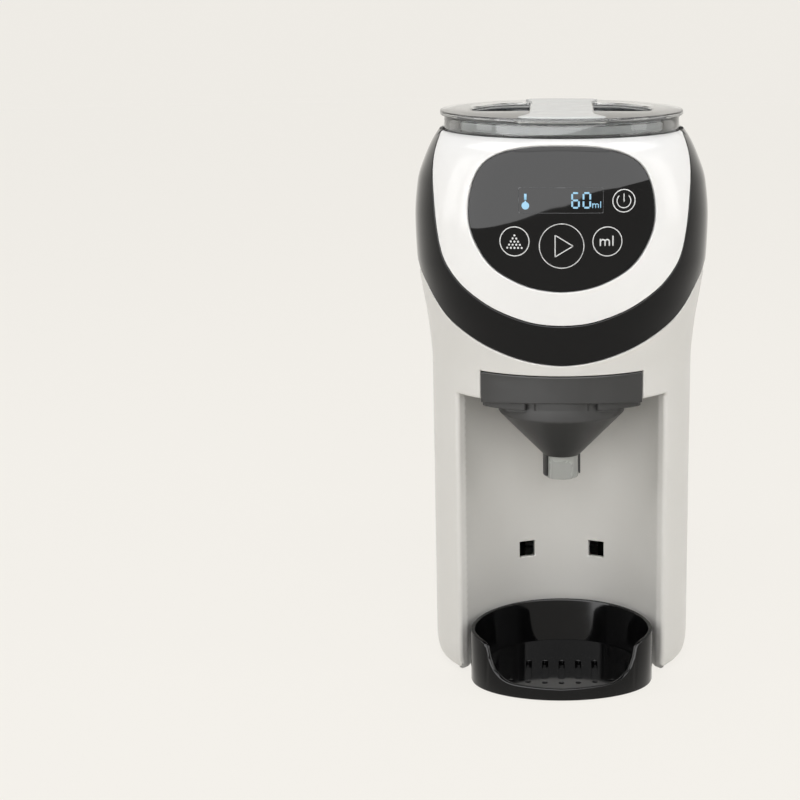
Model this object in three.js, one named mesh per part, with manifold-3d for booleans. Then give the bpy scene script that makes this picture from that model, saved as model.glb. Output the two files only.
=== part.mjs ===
// A baby formula maker: a counter-top machine that measures powder, warms water and mixes them in a funnel.
// Millimetres, +Z up, the front faces -Y. The origin is on the table at the middle of the bounding box.
// Every piece is placed from the head's vertical axis, which the powder container, dosing wheel and
// drive share.
import * as THREE from "three";
import { mergeVertices } from "three/addons/utils/BufferGeometryUtils.js";
import Module from "manifold-3d";

const wasm = await Module();
wasm.setup();

// Driving sizes. Heights are from the table, and depths along Y are from the head's axis.
const overallDepth = 275;
const trayReach = 88; // head axis to the tray's front edge
const headAxisY = trayReach - overallDepth / 2;
const tankBack = overallDepth - trayReach;
const bodyTop = 304;
const shellBottom = 2;
const headHalfWidth = 81.2;
const frontFlattening = 4; // by which the head reaches less far ahead than aside
const headReach = headHalfWidth - frontFlattening; // head axis to the front of the head
const columnInset = 8.1; // of the column under the head
const columnHalfWidth = headHalfWidth - columnInset;
const columnDepthShare = 0.4073; // of the overall depth
const columnBack = columnDepthShare * overallDepth; // head axis to the column's rear wall
const columnCorner = 7;
const wall = 2.5;
const gap = 0.3; // between pieces that touch
const overrun = 6; // how far a cutter passes what it cuts
const round = 28; // facets of a large round
const fine = 12; // facets of a small round
const snug = Math.cos(Math.PI / round); // flat to corner of a faceted round

// Plan sections of the head and column, from the bottom up: height, half width, front reach,
// squareness of the front curve (2 is an ellipse) and rear half width.
const sectionShares = [
  [0.0, 0.9, 0.952, 2.0, 0.958],
  [0.572, 0.903, 0.952, 2.0, 0.958],
  [0.64, 0.921, 0.967, 2.15, 0.96],
  [0.711, 0.958, 0.988, 2.45, 0.966],
  [0.78, 0.993, 1.0, 2.65, 0.971],
  [0.845, 1.0, 1.0, 2.7, 0.971],
  [0.91, 0.98, 0.995, 2.6, 0.96],
  [0.954, 0.926, 0.984, 2.5, 0.93],
  [0.982, 0.877, 0.955, 2.3, 0.898],
  [1.0, 0.833, 0.878, 2.0, 0.869],
];
// Outlines seen from the front: shares of the head's half width and of the body's height, right half,
// upwards.
const shieldShares = [
  [0, 0.678], [0.19, 0.683], [0.389, 0.7], [0.522, 0.718], [0.656, 0.744], [0.725, 0.766], [0.772, 0.785],
  [0.8, 0.808], [0.826, 0.85], [0.842, 0.897], [0.852, 0.935], [0.846, 0.965], [0.828, 0.985], [0.8, 1.01],
];
const bandShares = [
  [0, 0.606], [0.177, 0.611], [0.328, 0.62], [0.518, 0.638], [0.686, 0.663], [0.778, 0.683], [0.845, 0.706],
  [0.899, 0.73], [0.955, 0.755],
];
const panelShares = [
  [0, 0.738], [0.188, 0.745], [0.36, 0.764], [0.479, 0.787], [0.558, 0.819], [0.603, 0.85], [0.611, 0.884],
  [0.59, 0.919], [0.544, 0.949], [0.464, 0.97], [0.331, 0.984], [0.174, 0.99], [0, 0.991],
];
// The side of the black band and of the deck above it: shares of the column's depth and of the body's height.
const deckEdgeShares = [
  [0.02, 1.02], [0.08, 0.995], [0.2, 0.955], [0.34, 0.922], [0.49, 0.899], [1.2, 0.893],
];
const bandTailShares = [
  [0, 0.755], [0.15, 0.77], [0.29, 0.8], [0.41, 0.84], [0.5, 0.894],
];

// Filling bay, cut into the column's front, with chamfered front edges.
const baySide = 18.1; // column's side to the bay
const bayRadius = columnHalfWidth - baySide;
const bayBehindAxis = 1; // how far the bay's back is behind the head's axis
const bayCentre = bayBehindAxis - bayRadius;
const bayMouthHalf = bayRadius + wall;
const bayStraight = 9; // straight run of the bay's walls
const bayMouthY = bayCentre + bayStraight;
const bayArcStart = 14; // degrees from X at which the round back ends
const apronHeight = 19.2; // band's lowest point above the bay's ceiling
const bayCeiling = bandShares[0][1] * bodyTop - apronHeight;
const bayArcSteps = 14;

// Powder container, its seat in the head and its lid.
const seatDepth = 61;
const seatFloor = bodyTop - seatDepth;
const seatThick = 2.5;
const seatWall = 2;
const neckShare = 0.8005; // of the head's half width
const neckRadius = headHalfWidth * neckShare;
const neckStep = 5.5;
const containerRadius = neckRadius - neckStep;
const seatClear = 2.8; // container's side to the seat's outside
const seatRadius = containerRadius + seatClear;
const containerThick = 2;
const neckRise = 7.2; // container's neck above the body
const neckTop = bodyTop + neckRise;
const lidOverhang = 2.2;
const lidRadius = neckRadius + lidOverhang;
const lidThick = 2.7;
const lidRise = 0.8; // grip bar above the lid's plate
const gripHalfWidth = 18;
const wellInset = 17.2; // lid's edge to the finger wells
const wellRadius = lidRadius - wellInset;
const wellShares = [-0.32, 0.8]; // wells' front and back, of their radius
const [wellFront, wellBack] = wellShares.map((share) => share * wellRadius);
const wellDepth = 14;
const wellWall = 1.6;
const plugDepth = 7;
const plugClear = 1.8;
const gripInset = 3;
const gripSpread = 14; // degrees each side of front and back

// Dosing wheel, stirrer and drive.
const wheelInset = 3; // container's outside to the wheel
const wheelRadius = containerRadius - wheelInset;
const outletShare = 0.6726; // of the wheel's radius
const outletReach = wheelRadius * outletShare; // head axis to the powder outlet and the funnel's axis
const outletRadius = 9;
const wheelThick = 8;
const wheelFacets = 10;
const pocketCount = 8;
const pocketRadius = 8.2;
const stemRadius = 8;
const stemFacets = 16;
const dogWidth = 8;
const dogPlay = 0.5;
const hubRadius = 9;
const spindleRadius = 5;
const gearTeeth = 30;
const gearSide = 17.2; // powder outlet's axis to the drive gear's tips
const gearModule = (outletReach - gearSide) / (gearTeeth / 2 + 1);
const pinionTeeth = 10;
const gearThick = 6;
const gearBacklash = 0.35;
const shaftRadius = 4;
const bearingPlay = 0.1;
const screwPostRadius = 3;

// Funnel and its dock under the head.
const skirtInset = 13.6; // bay's mouth to the skirt
const skirtHalfWidth = bayMouthHalf - skirtInset;
const skirtRise = 13.3; // above the bay's ceiling
const skirtTop = bayCeiling + skirtRise;
const skirtDrop = 1;
const skirtThick = 2.2;
const cupInset = 3.5; // head's axis to the cup behind it
const cupRadius = outletReach - cupInset;
const cupTop = skirtTop - 1.8;
const cupThick = 2;
const shoulderDrop = 5.5;
const coneTop = bayCeiling - 12;
const coneSpread = 0.5; // of the cone's rim round the cup
const coneTopRadius = cupRadius + coneSpread;
const coneHeight = 25.5;
const coneBottom = coneTop - coneHeight;
const spoutRadius = 10.4;
const spoutLength = 13.2;
const spoutBottom = coneBottom - spoutLength;
const spoutWall = 0.8;
const spoutTubeWall = 1.9;
const spoutProud = 1.2; // how far the tube stands out of the neck's sleeve
const dockClear = 1.7; // funnel's skirt to the dock above it
const dockHeight = skirtTop + dockClear;
const dockSide = 3.1; // outside the skirt
const dockHalfWidth = skirtHalfWidth + dockSide;

// Drip tray.
const trayClear = 4.1; // all round in the bay
const trayRadius = bayRadius - trayClear;
const trayHeight = 30;
const trayWall = 2.5;
const trayFloor = 3;
const traySwoopShares = [
  [0, 0.233], [0.314, 0.253], [0.583, 0.287], [0.723, 0.433], [0.786, 0.633], [0.819, 0.877], [0.88, 0.95],
  [1.0, 1.0],
];
const hookWidth = 8;
const hookHeight = 6;
const hookOffset = 20;
const hookLevels = [23, 60]; // the two heights the tray can hang at

// Water tank, standing on a ledge behind the column.
const ledgeHeight = 26;
const tankInset = 3.1; // of the tank's side from the column's
const tankHalfWidth = columnHalfWidth - tankInset;
const tankDepth = tankBack - columnBack - 2 * gap;
const tankCornerShares = [0.376, 0.08]; // rear and front corners, of the tank's depth
const [tankCorner, tankFrontCorner] = tankCornerShares.map((share) => share * tankDepth);
const tankWall = 2.2;
const tankDrop = 18; // tank's rim below the body's top
const tankTop = bodyTop - tankDrop;
const tankLidThick = 5;
const hingePinRadius = 2;
const valveY = columnBack + tankCorner;
const valveRadius = 8.6;
const valveFacets = 16;
const floatInset = 24; // tank's side to the float's axis
const floatX = tankHalfWidth - floatInset;

// Closed geometry to a solid, turned right side out if its faces point in.
function solidOf(geometry) {
  geometry.deleteAttribute("normal");
  geometry.deleteAttribute("uv");
  const merged = mergeVertices(geometry, 1e-4);
  const kept = [];
  const index = merged.index.array;
  for (let i = 0; i < index.length; i += 3) {
    const [a, b, c] = [index[i], index[i + 1], index[i + 2]];
    if (a !== b && b !== c && c !== a) kept.push(a, b, c);
  }
  const vertProperties = merged.attributes.position.array;
  const made = (order) => new wasm.Manifold(new wasm.Mesh({ numProp: 3, vertProperties, triVerts: order }));
  const solid = made(new Uint32Array(kept));
  if (solid.volume() > 0) return solid;
  return made(new Uint32Array(kept).reverse());
}

function geometryOf(solid) {
  const mesh = solid.getMesh();
  const geometry = new THREE.BufferGeometry();
  const places = new Float32Array(mesh.numVert * 3);
  for (let i = 0; i < mesh.numVert; i++) {
    places.set(mesh.vertProperties.subarray(i * mesh.numProp, i * mesh.numProp + 3), i * 3);
  }
  geometry.setAttribute("position", new THREE.BufferAttribute(places, 3));
  geometry.setIndex(new THREE.BufferAttribute(new Uint32Array(mesh.triVerts), 1));
  geometry.computeVertexNormals();
  return geometry;
}

const join = (first, ...rest) => rest.reduce((whole, piece) => whole.add(piece), first);
const cut = (first, ...rest) => rest.reduce((whole, piece) => whole.subtract(piece), first);

// A plan outline pulled up from one height to another.
function prism(outline, low, high) {
  const shape = new THREE.Shape(outline.map(([x, y]) => new THREE.Vector2(x, y)));
  const geometry = new THREE.ExtrudeGeometry(shape, { depth: high - low, bevelEnabled: false });
  return solidOf(geometry.translate(0, 0, low));
}

// An outline in X and Z, run from front to back.
function frontPrism(outline, front, back) {
  const shape = new THREE.Shape(outline.map(([x, z]) => new THREE.Vector2(x, z)));
  const geometry = new THREE.ExtrudeGeometry(shape, { depth: back - front, bevelEnabled: false });
  return solidOf(geometry.rotateX(Math.PI / 2).translate(0, back, 0));
}

// An outline in Y and Z, run from left to right.
function sidePrism(outline, left, right) {
  const shape = new THREE.Shape(outline.map(([y, z]) => new THREE.Vector2(y, z)));
  const geometry = new THREE.ExtrudeGeometry(shape, { depth: right - left, bevelEnabled: false });
  const turn = new THREE.Matrix4().makeBasis(
    new THREE.Vector3(0, 1, 0), new THREE.Vector3(0, 0, 1), new THREE.Vector3(1, 0, 0),
  );
  return solidOf(geometry.applyMatrix4(turn).translate(left, 0, 0));
}

function block(x0, x1, y0, y1, z0, z1) {
  const geometry = new THREE.BoxGeometry(x1 - x0, y1 - y0, z1 - z0);
  return solidOf(geometry.translate((x0 + x1) / 2, (y0 + y1) / 2, (z0 + z1) / 2));
}

function rod(radius, low, high, x = 0, y = 0, facets = fine) {
  const geometry = new THREE.CylinderGeometry(radius, radius, high - low, facets);
  return solidOf(geometry.rotateX(Math.PI / 2).translate(x, y, (low + high) / 2));
}

function rodAlongY(radius, front, back, x, z, facets = fine) {
  const geometry = new THREE.CylinderGeometry(radius, radius, back - front, facets);
  return solidOf(geometry.translate(x, (front + back) / 2, z));
}

function rodAlongX(radius, left, right, y, z, facets = fine) {
  const geometry = new THREE.CylinderGeometry(radius, radius, right - left, facets);
  return solidOf(geometry.rotateZ(Math.PI / 2).translate((left + right) / 2, y, z));
}

// A profile of radius and height, turned about a vertical axis.
function turned(profile, x = 0, y = 0, facets = round) {
  const points = profile.map(([radius, height]) => new THREE.Vector2(radius, height));
  const geometry = new THREE.LatheGeometry(points, facets);
  return solidOf(geometry.rotateX(Math.PI / 2).translate(x, y, 0));
}

function ring(inner, outer, low, high, x = 0, y = 0, facets = round) {
  return turned([[inner, low], [outer, low], [outer, high], [inner, high], [inner, low]], x, y, facets);
}

// A tube with a bore, along a smooth line through the points.
function hose(points, outer, bore, steps) {
  const path = new THREE.CatmullRomCurve3(points.map((p) => new THREE.Vector3(...p)), false, "centripetal");
  const circle = (radius, facets) =>
    Array.from({ length: facets }, (_, i) => {
      const turn = (i / facets) * Math.PI * 2;
      return new THREE.Vector2(Math.cos(turn) * radius, Math.sin(turn) * radius);
    });
  const shape = new THREE.Shape(circle(outer, 8));
  shape.holes.push(new THREE.Path(circle(bore, 6).reverse()));
  return solidOf(new THREE.ExtrudeGeometry(shape, { steps, extrudePath: path, bevelEnabled: false }));
}

// Two rows of points of one length, joined up level by level, with flat ends.
function loft(sections) {
  const count = sections[0].points.length;
  const places = [];
  for (const { points, z } of sections) for (const [x, y] of points) places.push(x, y, z);
  const index = [];
  for (let level = 0; level + 1 < sections.length; level++) {
    for (let i = 0; i < count; i++) {
      const a = level * count + i;
      const b = level * count + ((i + 1) % count);
      index.push(a, b, b + count, a, b + count, a + count);
    }
  }
  const top = (sections.length - 1) * count;
  const contour = sections[0].points.map(([x, y]) => new THREE.Vector2(x, y));
  for (const [a, b, c] of THREE.ShapeUtils.triangulateShape(contour, [])) {
    index.push(a, c, b, top + a, top + b, top + c);
  }
  const geometry = new THREE.BufferGeometry();
  geometry.setAttribute("position", new THREE.Float32BufferAttribute(places, 3));
  geometry.setIndex(index);
  return solidOf(geometry);
}

const arc = (x, y, radius, from, to, steps) =>
  Array.from({ length: steps + 1 }, (_, i) => {
    const turn = THREE.MathUtils.degToRad(from + ((to - from) * i) / steps);
    return [x + Math.cos(turn) * radius, y + Math.sin(turn) * radius];
  });

// The outline moved outwards by a distance, or inwards by a negative one.
function grown(outline, distance) {
  const area = THREE.ShapeUtils.area(outline.map(([x, y]) => new THREE.Vector2(x, y)));
  const side = Math.sign(area) * distance;
  return outline.map((point, i) => {
    const before = new THREE.Vector2(...outline[(i + outline.length - 1) % outline.length]);
    const here = new THREE.Vector2(...point);
    const after = new THREE.Vector2(...outline[(i + 1) % outline.length]);
    const a = here.clone().sub(before).normalize();
    const b = after.sub(here).normalize();
    const normal = new THREE.Vector2(a.y + b.y, -a.x - b.x).normalize();
    const lean = Math.max(0.5, normal.dot(new THREE.Vector2(a.y, -a.x)));
    return [here.x + (normal.x * side) / lean, here.y + (normal.y * side) / lean];
  });
}

// A right half outline that starts on the middle, closed with its mirror image.
const mirrored = (half) => [...half, ...half.filter(([x]) => x > 0).reverse().map(([x, z]) => [-x, z])];
const scaled = (shares, width, height) => shares.map(([x, z]) => [x * width, z * height]);

function sectionAt(height) {
  const share = height / bodyTop;
  const above = sectionShares.findIndex(([level]) => level >= share);
  if (above < 1) return above < 0 ? sectionShares.at(-1) : sectionShares[0];
  const [low, high] = [sectionShares[above - 1], sectionShares[above]];
  const part = (share - low[0]) / (high[0] - low[0]);
  return low.map((value, i) => value + (high[i] - value) * part);
}

// The plan of the body at a height, as a closed ring of points, inset by a wall.
function planAt(height, inset) {
  const [, widthShare, reachShare, squareness, rearShare] = sectionAt(height);
  const halfWidth = widthShare * headHalfWidth - inset;
  const reach = reachShare * headReach - inset;
  const rear = rearShare * columnHalfWidth - inset;
  const back = columnBack - inset;
  const corner = columnCorner - inset / 2;
  const bend = (turn) => Math.sign(turn) * Math.abs(turn) ** (2 / squareness);
  const points = [];
  const frontSteps = 16;
  for (let i = 0; i <= frontSteps; i++) {
    const turn = -Math.PI / 2 + (Math.PI * i) / frontSteps;
    points.push([halfWidth * bend(Math.sin(turn)), -reach * bend(Math.abs(Math.cos(turn)))]);
  }
  const sideSteps = 3;
  const side = [];
  for (let i = 1; i <= sideSteps; i++) {
    const part = i / sideSteps;
    const ease = (1 + Math.cos(Math.PI * part)) / 2;
    side.push([rear + (halfWidth - rear) * ease, (back - corner) * part]);
  }
  const half = [...side, ...arc(rear - corner, back - corner, corner, 0, 90, 2).slice(1)];
  points.push(...half, ...half.slice().reverse().map(([x, y]) => [-x, y]));
  return points;
}

function bodyLoft(inset, low, high) {
  const levels = sectionShares.map(([share]) => share * bodyTop)
    .filter((z) => z > low + gap && z < high - gap);
  return loft([low, ...levels, high].map((z) => ({ points: planAt(z, inset), z })));
}

function bayOutline(offset) {
  const front = -headReach - overrun;
  const mouth = bayMouthHalf + offset;
  return [
    ...arc(0, bayCentre, bayRadius + offset, bayArcStart, 180 - bayArcStart, bayArcSteps),
    [-mouth, bayMouthY], [-mouth, front], [mouth, front], [mouth, bayMouthY],
  ];
}

// Regions that divide the head's skin into the white shield, the black band, the deck and the shells.
const skinFront = -headReach - overrun;
const shieldBack = -14;
const shieldOutline = mirrored(scaled(shieldShares, headHalfWidth, bodyTop));
const panelOutline = mirrored(scaled(panelShares, headHalfWidth, bodyTop));
const shieldRegion = (grow) => frontPrism(grown(shieldOutline, grow), skinFront, shieldBack + grow);
const deckEdge = scaled(deckEdgeShares, columnBack, bodyTop);
const deckRegion = (grow) => {
  const [first, last] = [deckEdge[0], deckEdge.at(-1)];
  const line = deckEdge.map(([y, z]) => [y, z - grow]);
  const above = bodyTop + 2 * overrun;
  const far = headHalfWidth + overrun;
  return sidePrism([...line, [last[0], above], [first[0], above]], -far, far);
};

function bandRegion(grow) {
  const edge = scaled(bandShares, headHalfWidth, bodyTop).map(([x, z]) => [x, z - grow]);
  const [, lastHeight] = edge.at(-1);
  const far = headHalfWidth + overrun;
  const above = bodyTop + overrun;
  const front = frontPrism(
    mirrored([...edge, [far, lastHeight], [far, above], [0, above]]),
    skinFront, columnBack,
  );
  const tail = scaled(bandTailShares, columnBack, bodyTop).map(([y, z]) => [y + grow, z - grow]);
  const top = deckEdge.filter(([y]) => y < tail.at(-1)[0]).reverse().map(([y, z]) => [y, z - gap + grow]);
  const roof = top.at(-1)[1];
  const start = [[skinFront, shellBottom], [0, shellBottom]];
  const side = sidePrism([...start, ...tail, ...top, [skinFront, roof]], -far, far);
  return front.intersect(side);
}

// The hollow skin of head and column, with the bay, before it is divided.
function makeSkin() {
  const outer = bodyLoft(0, shellBottom, bodyTop);
  const cavity = bodyLoft(wall, shellBottom - overrun, bodyTop - wall);
  const low = shellBottom - overrun;
  const bayBlock = prism(bayOutline(wall), low, bayCeiling + wall);
  const bayVoid = prism(bayOutline(0), low, bayCeiling);
  const containerHole = rod(neckRadius + 2 * gap, seatFloor, bodyTop + overrun, 0, 0, round);
  return cut(outer, cavity.subtract(bayBlock), bayVoid, containerHole);
}

const skin = makeSkin();
const splitY = 24; // where the front and rear shells meet
const shellSkin = cut(skin, shieldRegion(gap), bandRegion(gap), deckRegion(gap));

function makeShield() {
  const opening = frontPrism(panelOutline, skinFront, bayCentre + wall);
  return skin.intersect(shieldRegion(0)).subtract(opening);
}

const makeBand = () => skin.intersect(bandRegion(0)).subtract(shieldRegion(gap));
const makeDeck = () => skin.intersect(deckRegion(0)).subtract(shieldRegion(gap));

// Mouth in the front wall and slot in the bay's ceiling that the funnel slides into.
const ceilingTop = bayCeiling + wall;
const slotBack = cupRadius - outletReach + 2 * gap;
function funnelMouth() {
  const low = bayCeiling - overrun;
  const high = skirtTop + gap;
  const side = skirtHalfWidth + gap;
  const wallZone = block(-side, side, skinFront, bayCentre, low, high)
    .subtract(bodyLoft(skirtThick + 2 * gap, low - overrun, high + overrun));
  const throat = block(-side, side, skinFront, bayCentre, ceilingTop, high);
  const cupSide = cupRadius + 5 * gap;
  return join(wallZone, throat, block(-cupSide, cupSide, skinFront, slotBack, low, high));
}

const screwInsets = [8.6, 15]; // front and rear screws to the column's and the tank's side
const frontScrewY = 12;
const frontScrew = [columnHalfWidth - screwInsets[0], frontScrewY];
const rearInset = 19; // rear feet and screws to the ledge's back
const rearScrew = [tankHalfWidth - screwInsets[1], tankBack - rearInset];
const bossRadius = 5;
const bossHeight = 20;
const plateBottom = 3;
const plateTop = plateBottom + wall;
const pilotRadius = 1.8;
const screwFacets = 8;
const portFacets = 10;
const between = (a, b) => [Math.min(a, b), Math.max(a, b)];

function makeFrontShell() {
  let shell = shellSkin.trimByPlane([0, -1, 0], -splitY + gap / 2).subtract(funnelMouth());
  for (const side of [-1, 1]) {
    const [x, y] = [side * frontScrew[0], frontScrew[1]];
    const pilot = rod(pilotRadius, 0, bossHeight - wall, x, y);
    const ribSpan = between(x, side * columnHalfWidth);
    const rib = block(...ribSpan, y - wall / 2, y + wall / 2, plateTop + gap, bossHeight)
      .intersect(bodyLoft(wall / 2, shellBottom, bodyTop));
    const boss = rod(bossRadius, plateTop + gap, bossHeight, x, y);
    shell = join(shell, rib.subtract(pilot), boss.subtract(pilot));
    for (const level of hookLevels) {
      const half = hookWidth / 2 + 2 * gap;
      const middle = side * hookOffset;
      shell = shell.subtract(
        block(middle - half, middle + half, -hookWidth, wall + hookWidth, level - half, level + half));
    }
  }
  return shell;
}

// The ledge that carries the tank is part of the rear shell.
function ledgeOutline(inset) {
  const half = tankHalfWidth - inset;
  const back = tankBack - inset;
  const corner = tankCorner - inset;
  const rear = arc(half - corner, back - corner, corner, 0, 90, 7);
  const front = columnBack - columnCorner - wall - overrun;
  return [[-half, front], [half, front], ...rear, ...rear.slice().reverse().map(([x, y]) => [-x, y])];
}

const inletShare = 0.4286; // of the tank's half width
const inletX = tankHalfWidth * inletShare;
const inletHalf = [11, 7];
const inletHeight = 13.5;
const dockRadius = 12.3;
function makeRearShell() {
  const column = shellSkin.trimByPlane([0, 1, 0], splitY + gap / 2);
  const under = ledgeHeight - wall;
  const low = shellBottom - overrun;
  const ledge = prism(ledgeOutline(0), shellBottom, ledgeHeight);
  const inside = bodyLoft(wall, low, ledgeHeight + overrun)
    .intersect(block(-headHalfWidth, headHalfWidth, splitY, columnBack, low, ledgeHeight + overrun));
  let shell = cut(join(column, ledge), prism(ledgeOutline(wall), low, under), inside);
  for (const side of [-1, 1]) {
    const [x, y] = [side * rearScrew[0], rearScrew[1]];
    shell = join(shell, rod(bossRadius, plateTop + gap, under + gap, x, y).subtract(
      rod(pilotRadius, 0, under - wall, x, y)));
  }
  const [halfX, halfZ] = inletHalf.map((half) => half + gap);
  return cut(shell,
    rod(dockRadius + gap, 0, ledgeHeight + overrun, 0, valveY, valveFacets),
    block(inletX - halfX, inletX + halfX, tankBack - 3 * wall, tankBack + overrun,
      inletHeight - halfZ, inletHeight + halfZ));
}

const footRadius = 7;
const footStem = 3;
const footInsets = [13.1, 34]; // front and rear feet to the column's and the tank's side
const frontFootY = -15;
const frontFoot = [columnHalfWidth - footInsets[0], frontFootY];
const rearFoot = [tankHalfWidth - footInsets[1], tankBack - rearInset];
const feet = {
  front_left: [-frontFoot[0], frontFoot[1]], front_right: frontFoot,
  rear_left: [-rearFoot[0], rearFoot[1]], rear_right: rearFoot,
};
const screwHead = 3;
const screwShank = 1.5;
const screws = {
  front_left: [-frontScrew[0], frontScrew[1]], front_right: frontScrew,
  rear_left: [-rearScrew[0], rearScrew[1]], rear_right: rearScrew,
};
const headRecess = 1.6;

function makeBasePlate() {
  const inset = wall + gap;
  const front = prism(planAt(plateBottom, inset), plateBottom, plateTop)
    .subtract(prism(bayOutline(inset), 0, bossHeight));
  let plate = join(front, prism(ledgeOutline(inset), plateBottom, plateTop));
  for (const [x, y] of Object.values(feet)) plate = plate.subtract(rod(footStem + gap, 0, bossHeight, x, y));
  for (const [x, y] of Object.values(screws)) {
    plate = cut(plate, rod(screwShank + gap, 0, bossHeight, x, y, screwFacets),
      rod(screwHead + gap, 0, plateBottom + headRecess, x, y, screwFacets));
  }
  return plate;
}

const makeFoot = ([x, y]) => turned([
  [0, 0], [footRadius, 0], [footRadius, plateBottom - gap], [footStem, plateBottom - gap],
  [footStem, plateTop], [0, plateTop],
], x, y, fine);

function makeScrew([x, y]) {
  const seat = plateBottom + headRecess - gap;
  return turned([
    [0, plateBottom + gap], [screwHead, plateBottom + gap], [screwHead, seat],
    [screwShank, seat], [screwShank, bossHeight - 2 * wall], [0, bossHeight - 2 * wall],
  ], x, y, screwFacets);
}

// Control panel: curved cover, the frame that holds it, the display and the board.
const coverInset = 0.5;
const frameThick = 1.8;
const boardBehind = 2.7; // board's front to the container's seat
const boardFront = -seatRadius - boardBehind;
const boardThick = 1.6;
const boardWidthShares = [0.4, 0.28]; // board and display, of the head's half width
const [boardHalfWidth, displayHalfWidth] = boardWidthShares.map((share) => share * headHalfWidth);
const boardShares = [0.763, 0.947]; // board's edges and the display's, of the body's height
const displayShares = [0.862, 0.934];
const [boardBottom, boardTop] = boardShares.map((share) => share * bodyTop);
const [displayBottom, displayTop] = displayShares.map((share) => share * bodyTop);
const panelDepth = 27.2; // that the panel curves back
const panelBack = panelDepth - headReach;
const postRadius = 2;
const postInset = 5;
const chipHalf = 8;
const chipHeight = 8;
const chipThick = 1.2;
const plugSpan = [20, 32];
const plugHeight = 6;
const plugThick = 1.4;
const partInset = 1; // from the board's lower edge

function makePanelCover() {
  const shell = bodyLoft(coverInset, bayCeiling, bodyTop - coverInset)
    .subtract(bodyLoft(wall, bayCeiling - overrun, bodyTop));
  return shell.intersect(frontPrism(grown(panelOutline, -gap), skinFront, panelBack));
}

function makePanelFrame() {
  const inset = wall + gap;
  const shell = bodyLoft(inset, bayCeiling, bodyTop - inset)
    .subtract(bodyLoft(inset + frameThick, bayCeiling - overrun, bodyTop));
  const region = frontPrism(grown(panelOutline, 2 * wall), skinFront, panelBack);
  const window = block(-displayHalfWidth, displayHalfWidth, skinFront, panelBack, displayBottom, displayTop);
  const ceiling = block(-headHalfWidth, headHalfWidth, skinFront, 0, bayCeiling, boardTop + 2 * wall);
  let frame = shell.intersect(region).intersect(ceiling).subtract(window);
  const inner = bodyLoft(inset + frameThick / 2, bayCeiling, bodyTop);
  for (const side of [-1, 1]) {
    for (const height of [boardBottom + postInset, boardTop - postInset]) {
      const x = side * (boardHalfWidth - postInset);
      const post = rodAlongY(postRadius, skinFront, boardFront - gap, x, height, screwFacets);
      frame = frame.add(post.intersect(inner));
    }
  }
  return frame;
}

function makeDisplay() {
  const fit = bodyLoft(wall + gap, bayCeiling, bodyTop);
  return block(-displayHalfWidth + gap, displayHalfWidth - gap, skinFront, boardFront - gap,
    displayBottom + gap, displayTop - gap).intersect(fit);
}

function makeControlBoard() {
  const board = block(-boardHalfWidth, boardHalfWidth, boardFront, boardFront + boardThick,
    boardBottom, boardTop);
  const back = boardFront + boardThick;
  const low = boardBottom + partInset;
  const chip = block(-chipHalf, chipHalf, back - gap, back + chipThick, low, low + chipHeight);
  const plug = block(...plugSpan, back - gap, back + plugThick, low, low + plugHeight);
  return join(board, chip, plug);
}

// Seat that holds the container inside the head, and the chute under its outlet.
const seatInner = seatRadius - seatWall;
const seatStemClear = 4;
const seatOutletClear = 1;
const seatLipTop = bodyTop - wall - gap;
const seatLipRadius = sectionAt(seatLipTop)[1] * headHalfWidth - wall - gap;
const seatTop = seatFloor + seatThick;
function makeSeat() {
  const cup = turned([
    [0, seatFloor], [seatRadius, seatFloor], [seatRadius, seatLipTop - seatThick],
    [seatLipRadius, seatLipTop - seatThick], [seatLipRadius, seatLipTop], [seatInner, seatLipTop],
    [seatInner, seatTop], [0, seatTop],
  ]);
  return cut(cup, rod(stemRadius + seatStemClear, 0, bodyTop, 0, 0, stemFacets),
    rod(outletRadius + seatOutletClear, 0, bodyTop, 0, -outletReach, stemFacets));
}

const dockTop = dockHeight + wall;
const chuteOuter = 11;
const chuteInner = 9.5;
const chuteFlange = 14;
const chuteTop = seatFloor - gap;
const makeChute = () => turned([
  [chuteInner, dockTop + gap], [chuteOuter, dockTop + gap], [chuteOuter, chuteTop - wall],
  [chuteFlange, chuteTop - wall], [chuteFlange, chuteTop], [chuteInner, chuteTop],
  [chuteInner, dockTop + gap],
], 0, -outletReach, stemFacets);

// Powder container with its outlet and the guard over it.
const containerFloor = seatTop + gap;
const containerInside = containerFloor + wall;
const shoulder = bodyTop - wall + gap;
const containerInner = containerRadius - containerThick;
const neckInner = neckRadius - containerThick;
function makeContainer() {
  const bowl = turned([
    [0, containerFloor], [containerRadius, containerFloor], [containerRadius, shoulder],
    [neckRadius, shoulder],
    [neckRadius, neckTop], [neckInner, neckTop], [neckInner, shoulder + containerThick],
    [containerInner, shoulder + containerThick], [containerInner, containerInside], [0, containerInside],
  ]);
  return cut(bowl, rod(stemRadius + 2 * gap, 0, bodyTop, 0, 0, stemFacets),
    rod(outletRadius, 0, bodyTop, 0, -outletReach, stemFacets));
}

const wheelBottom = containerInside + gap;
const wheelTop = wheelBottom + wheelThick;
const guardThick = 2.2;
const guardBottom = wheelTop + 2 * gap;
const guardReach = 24;
const guardSpan = [-120, -60]; // degrees round the axis
function makeGuard() {
  const outer = containerInner * snug - gap;
  const [from, to] = guardSpan;
  return prism([...arc(0, 0, outer, from, to, 10), ...arc(0, 0, guardReach, to, from, 5)],
    guardBottom, guardBottom + guardThick);
}

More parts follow.
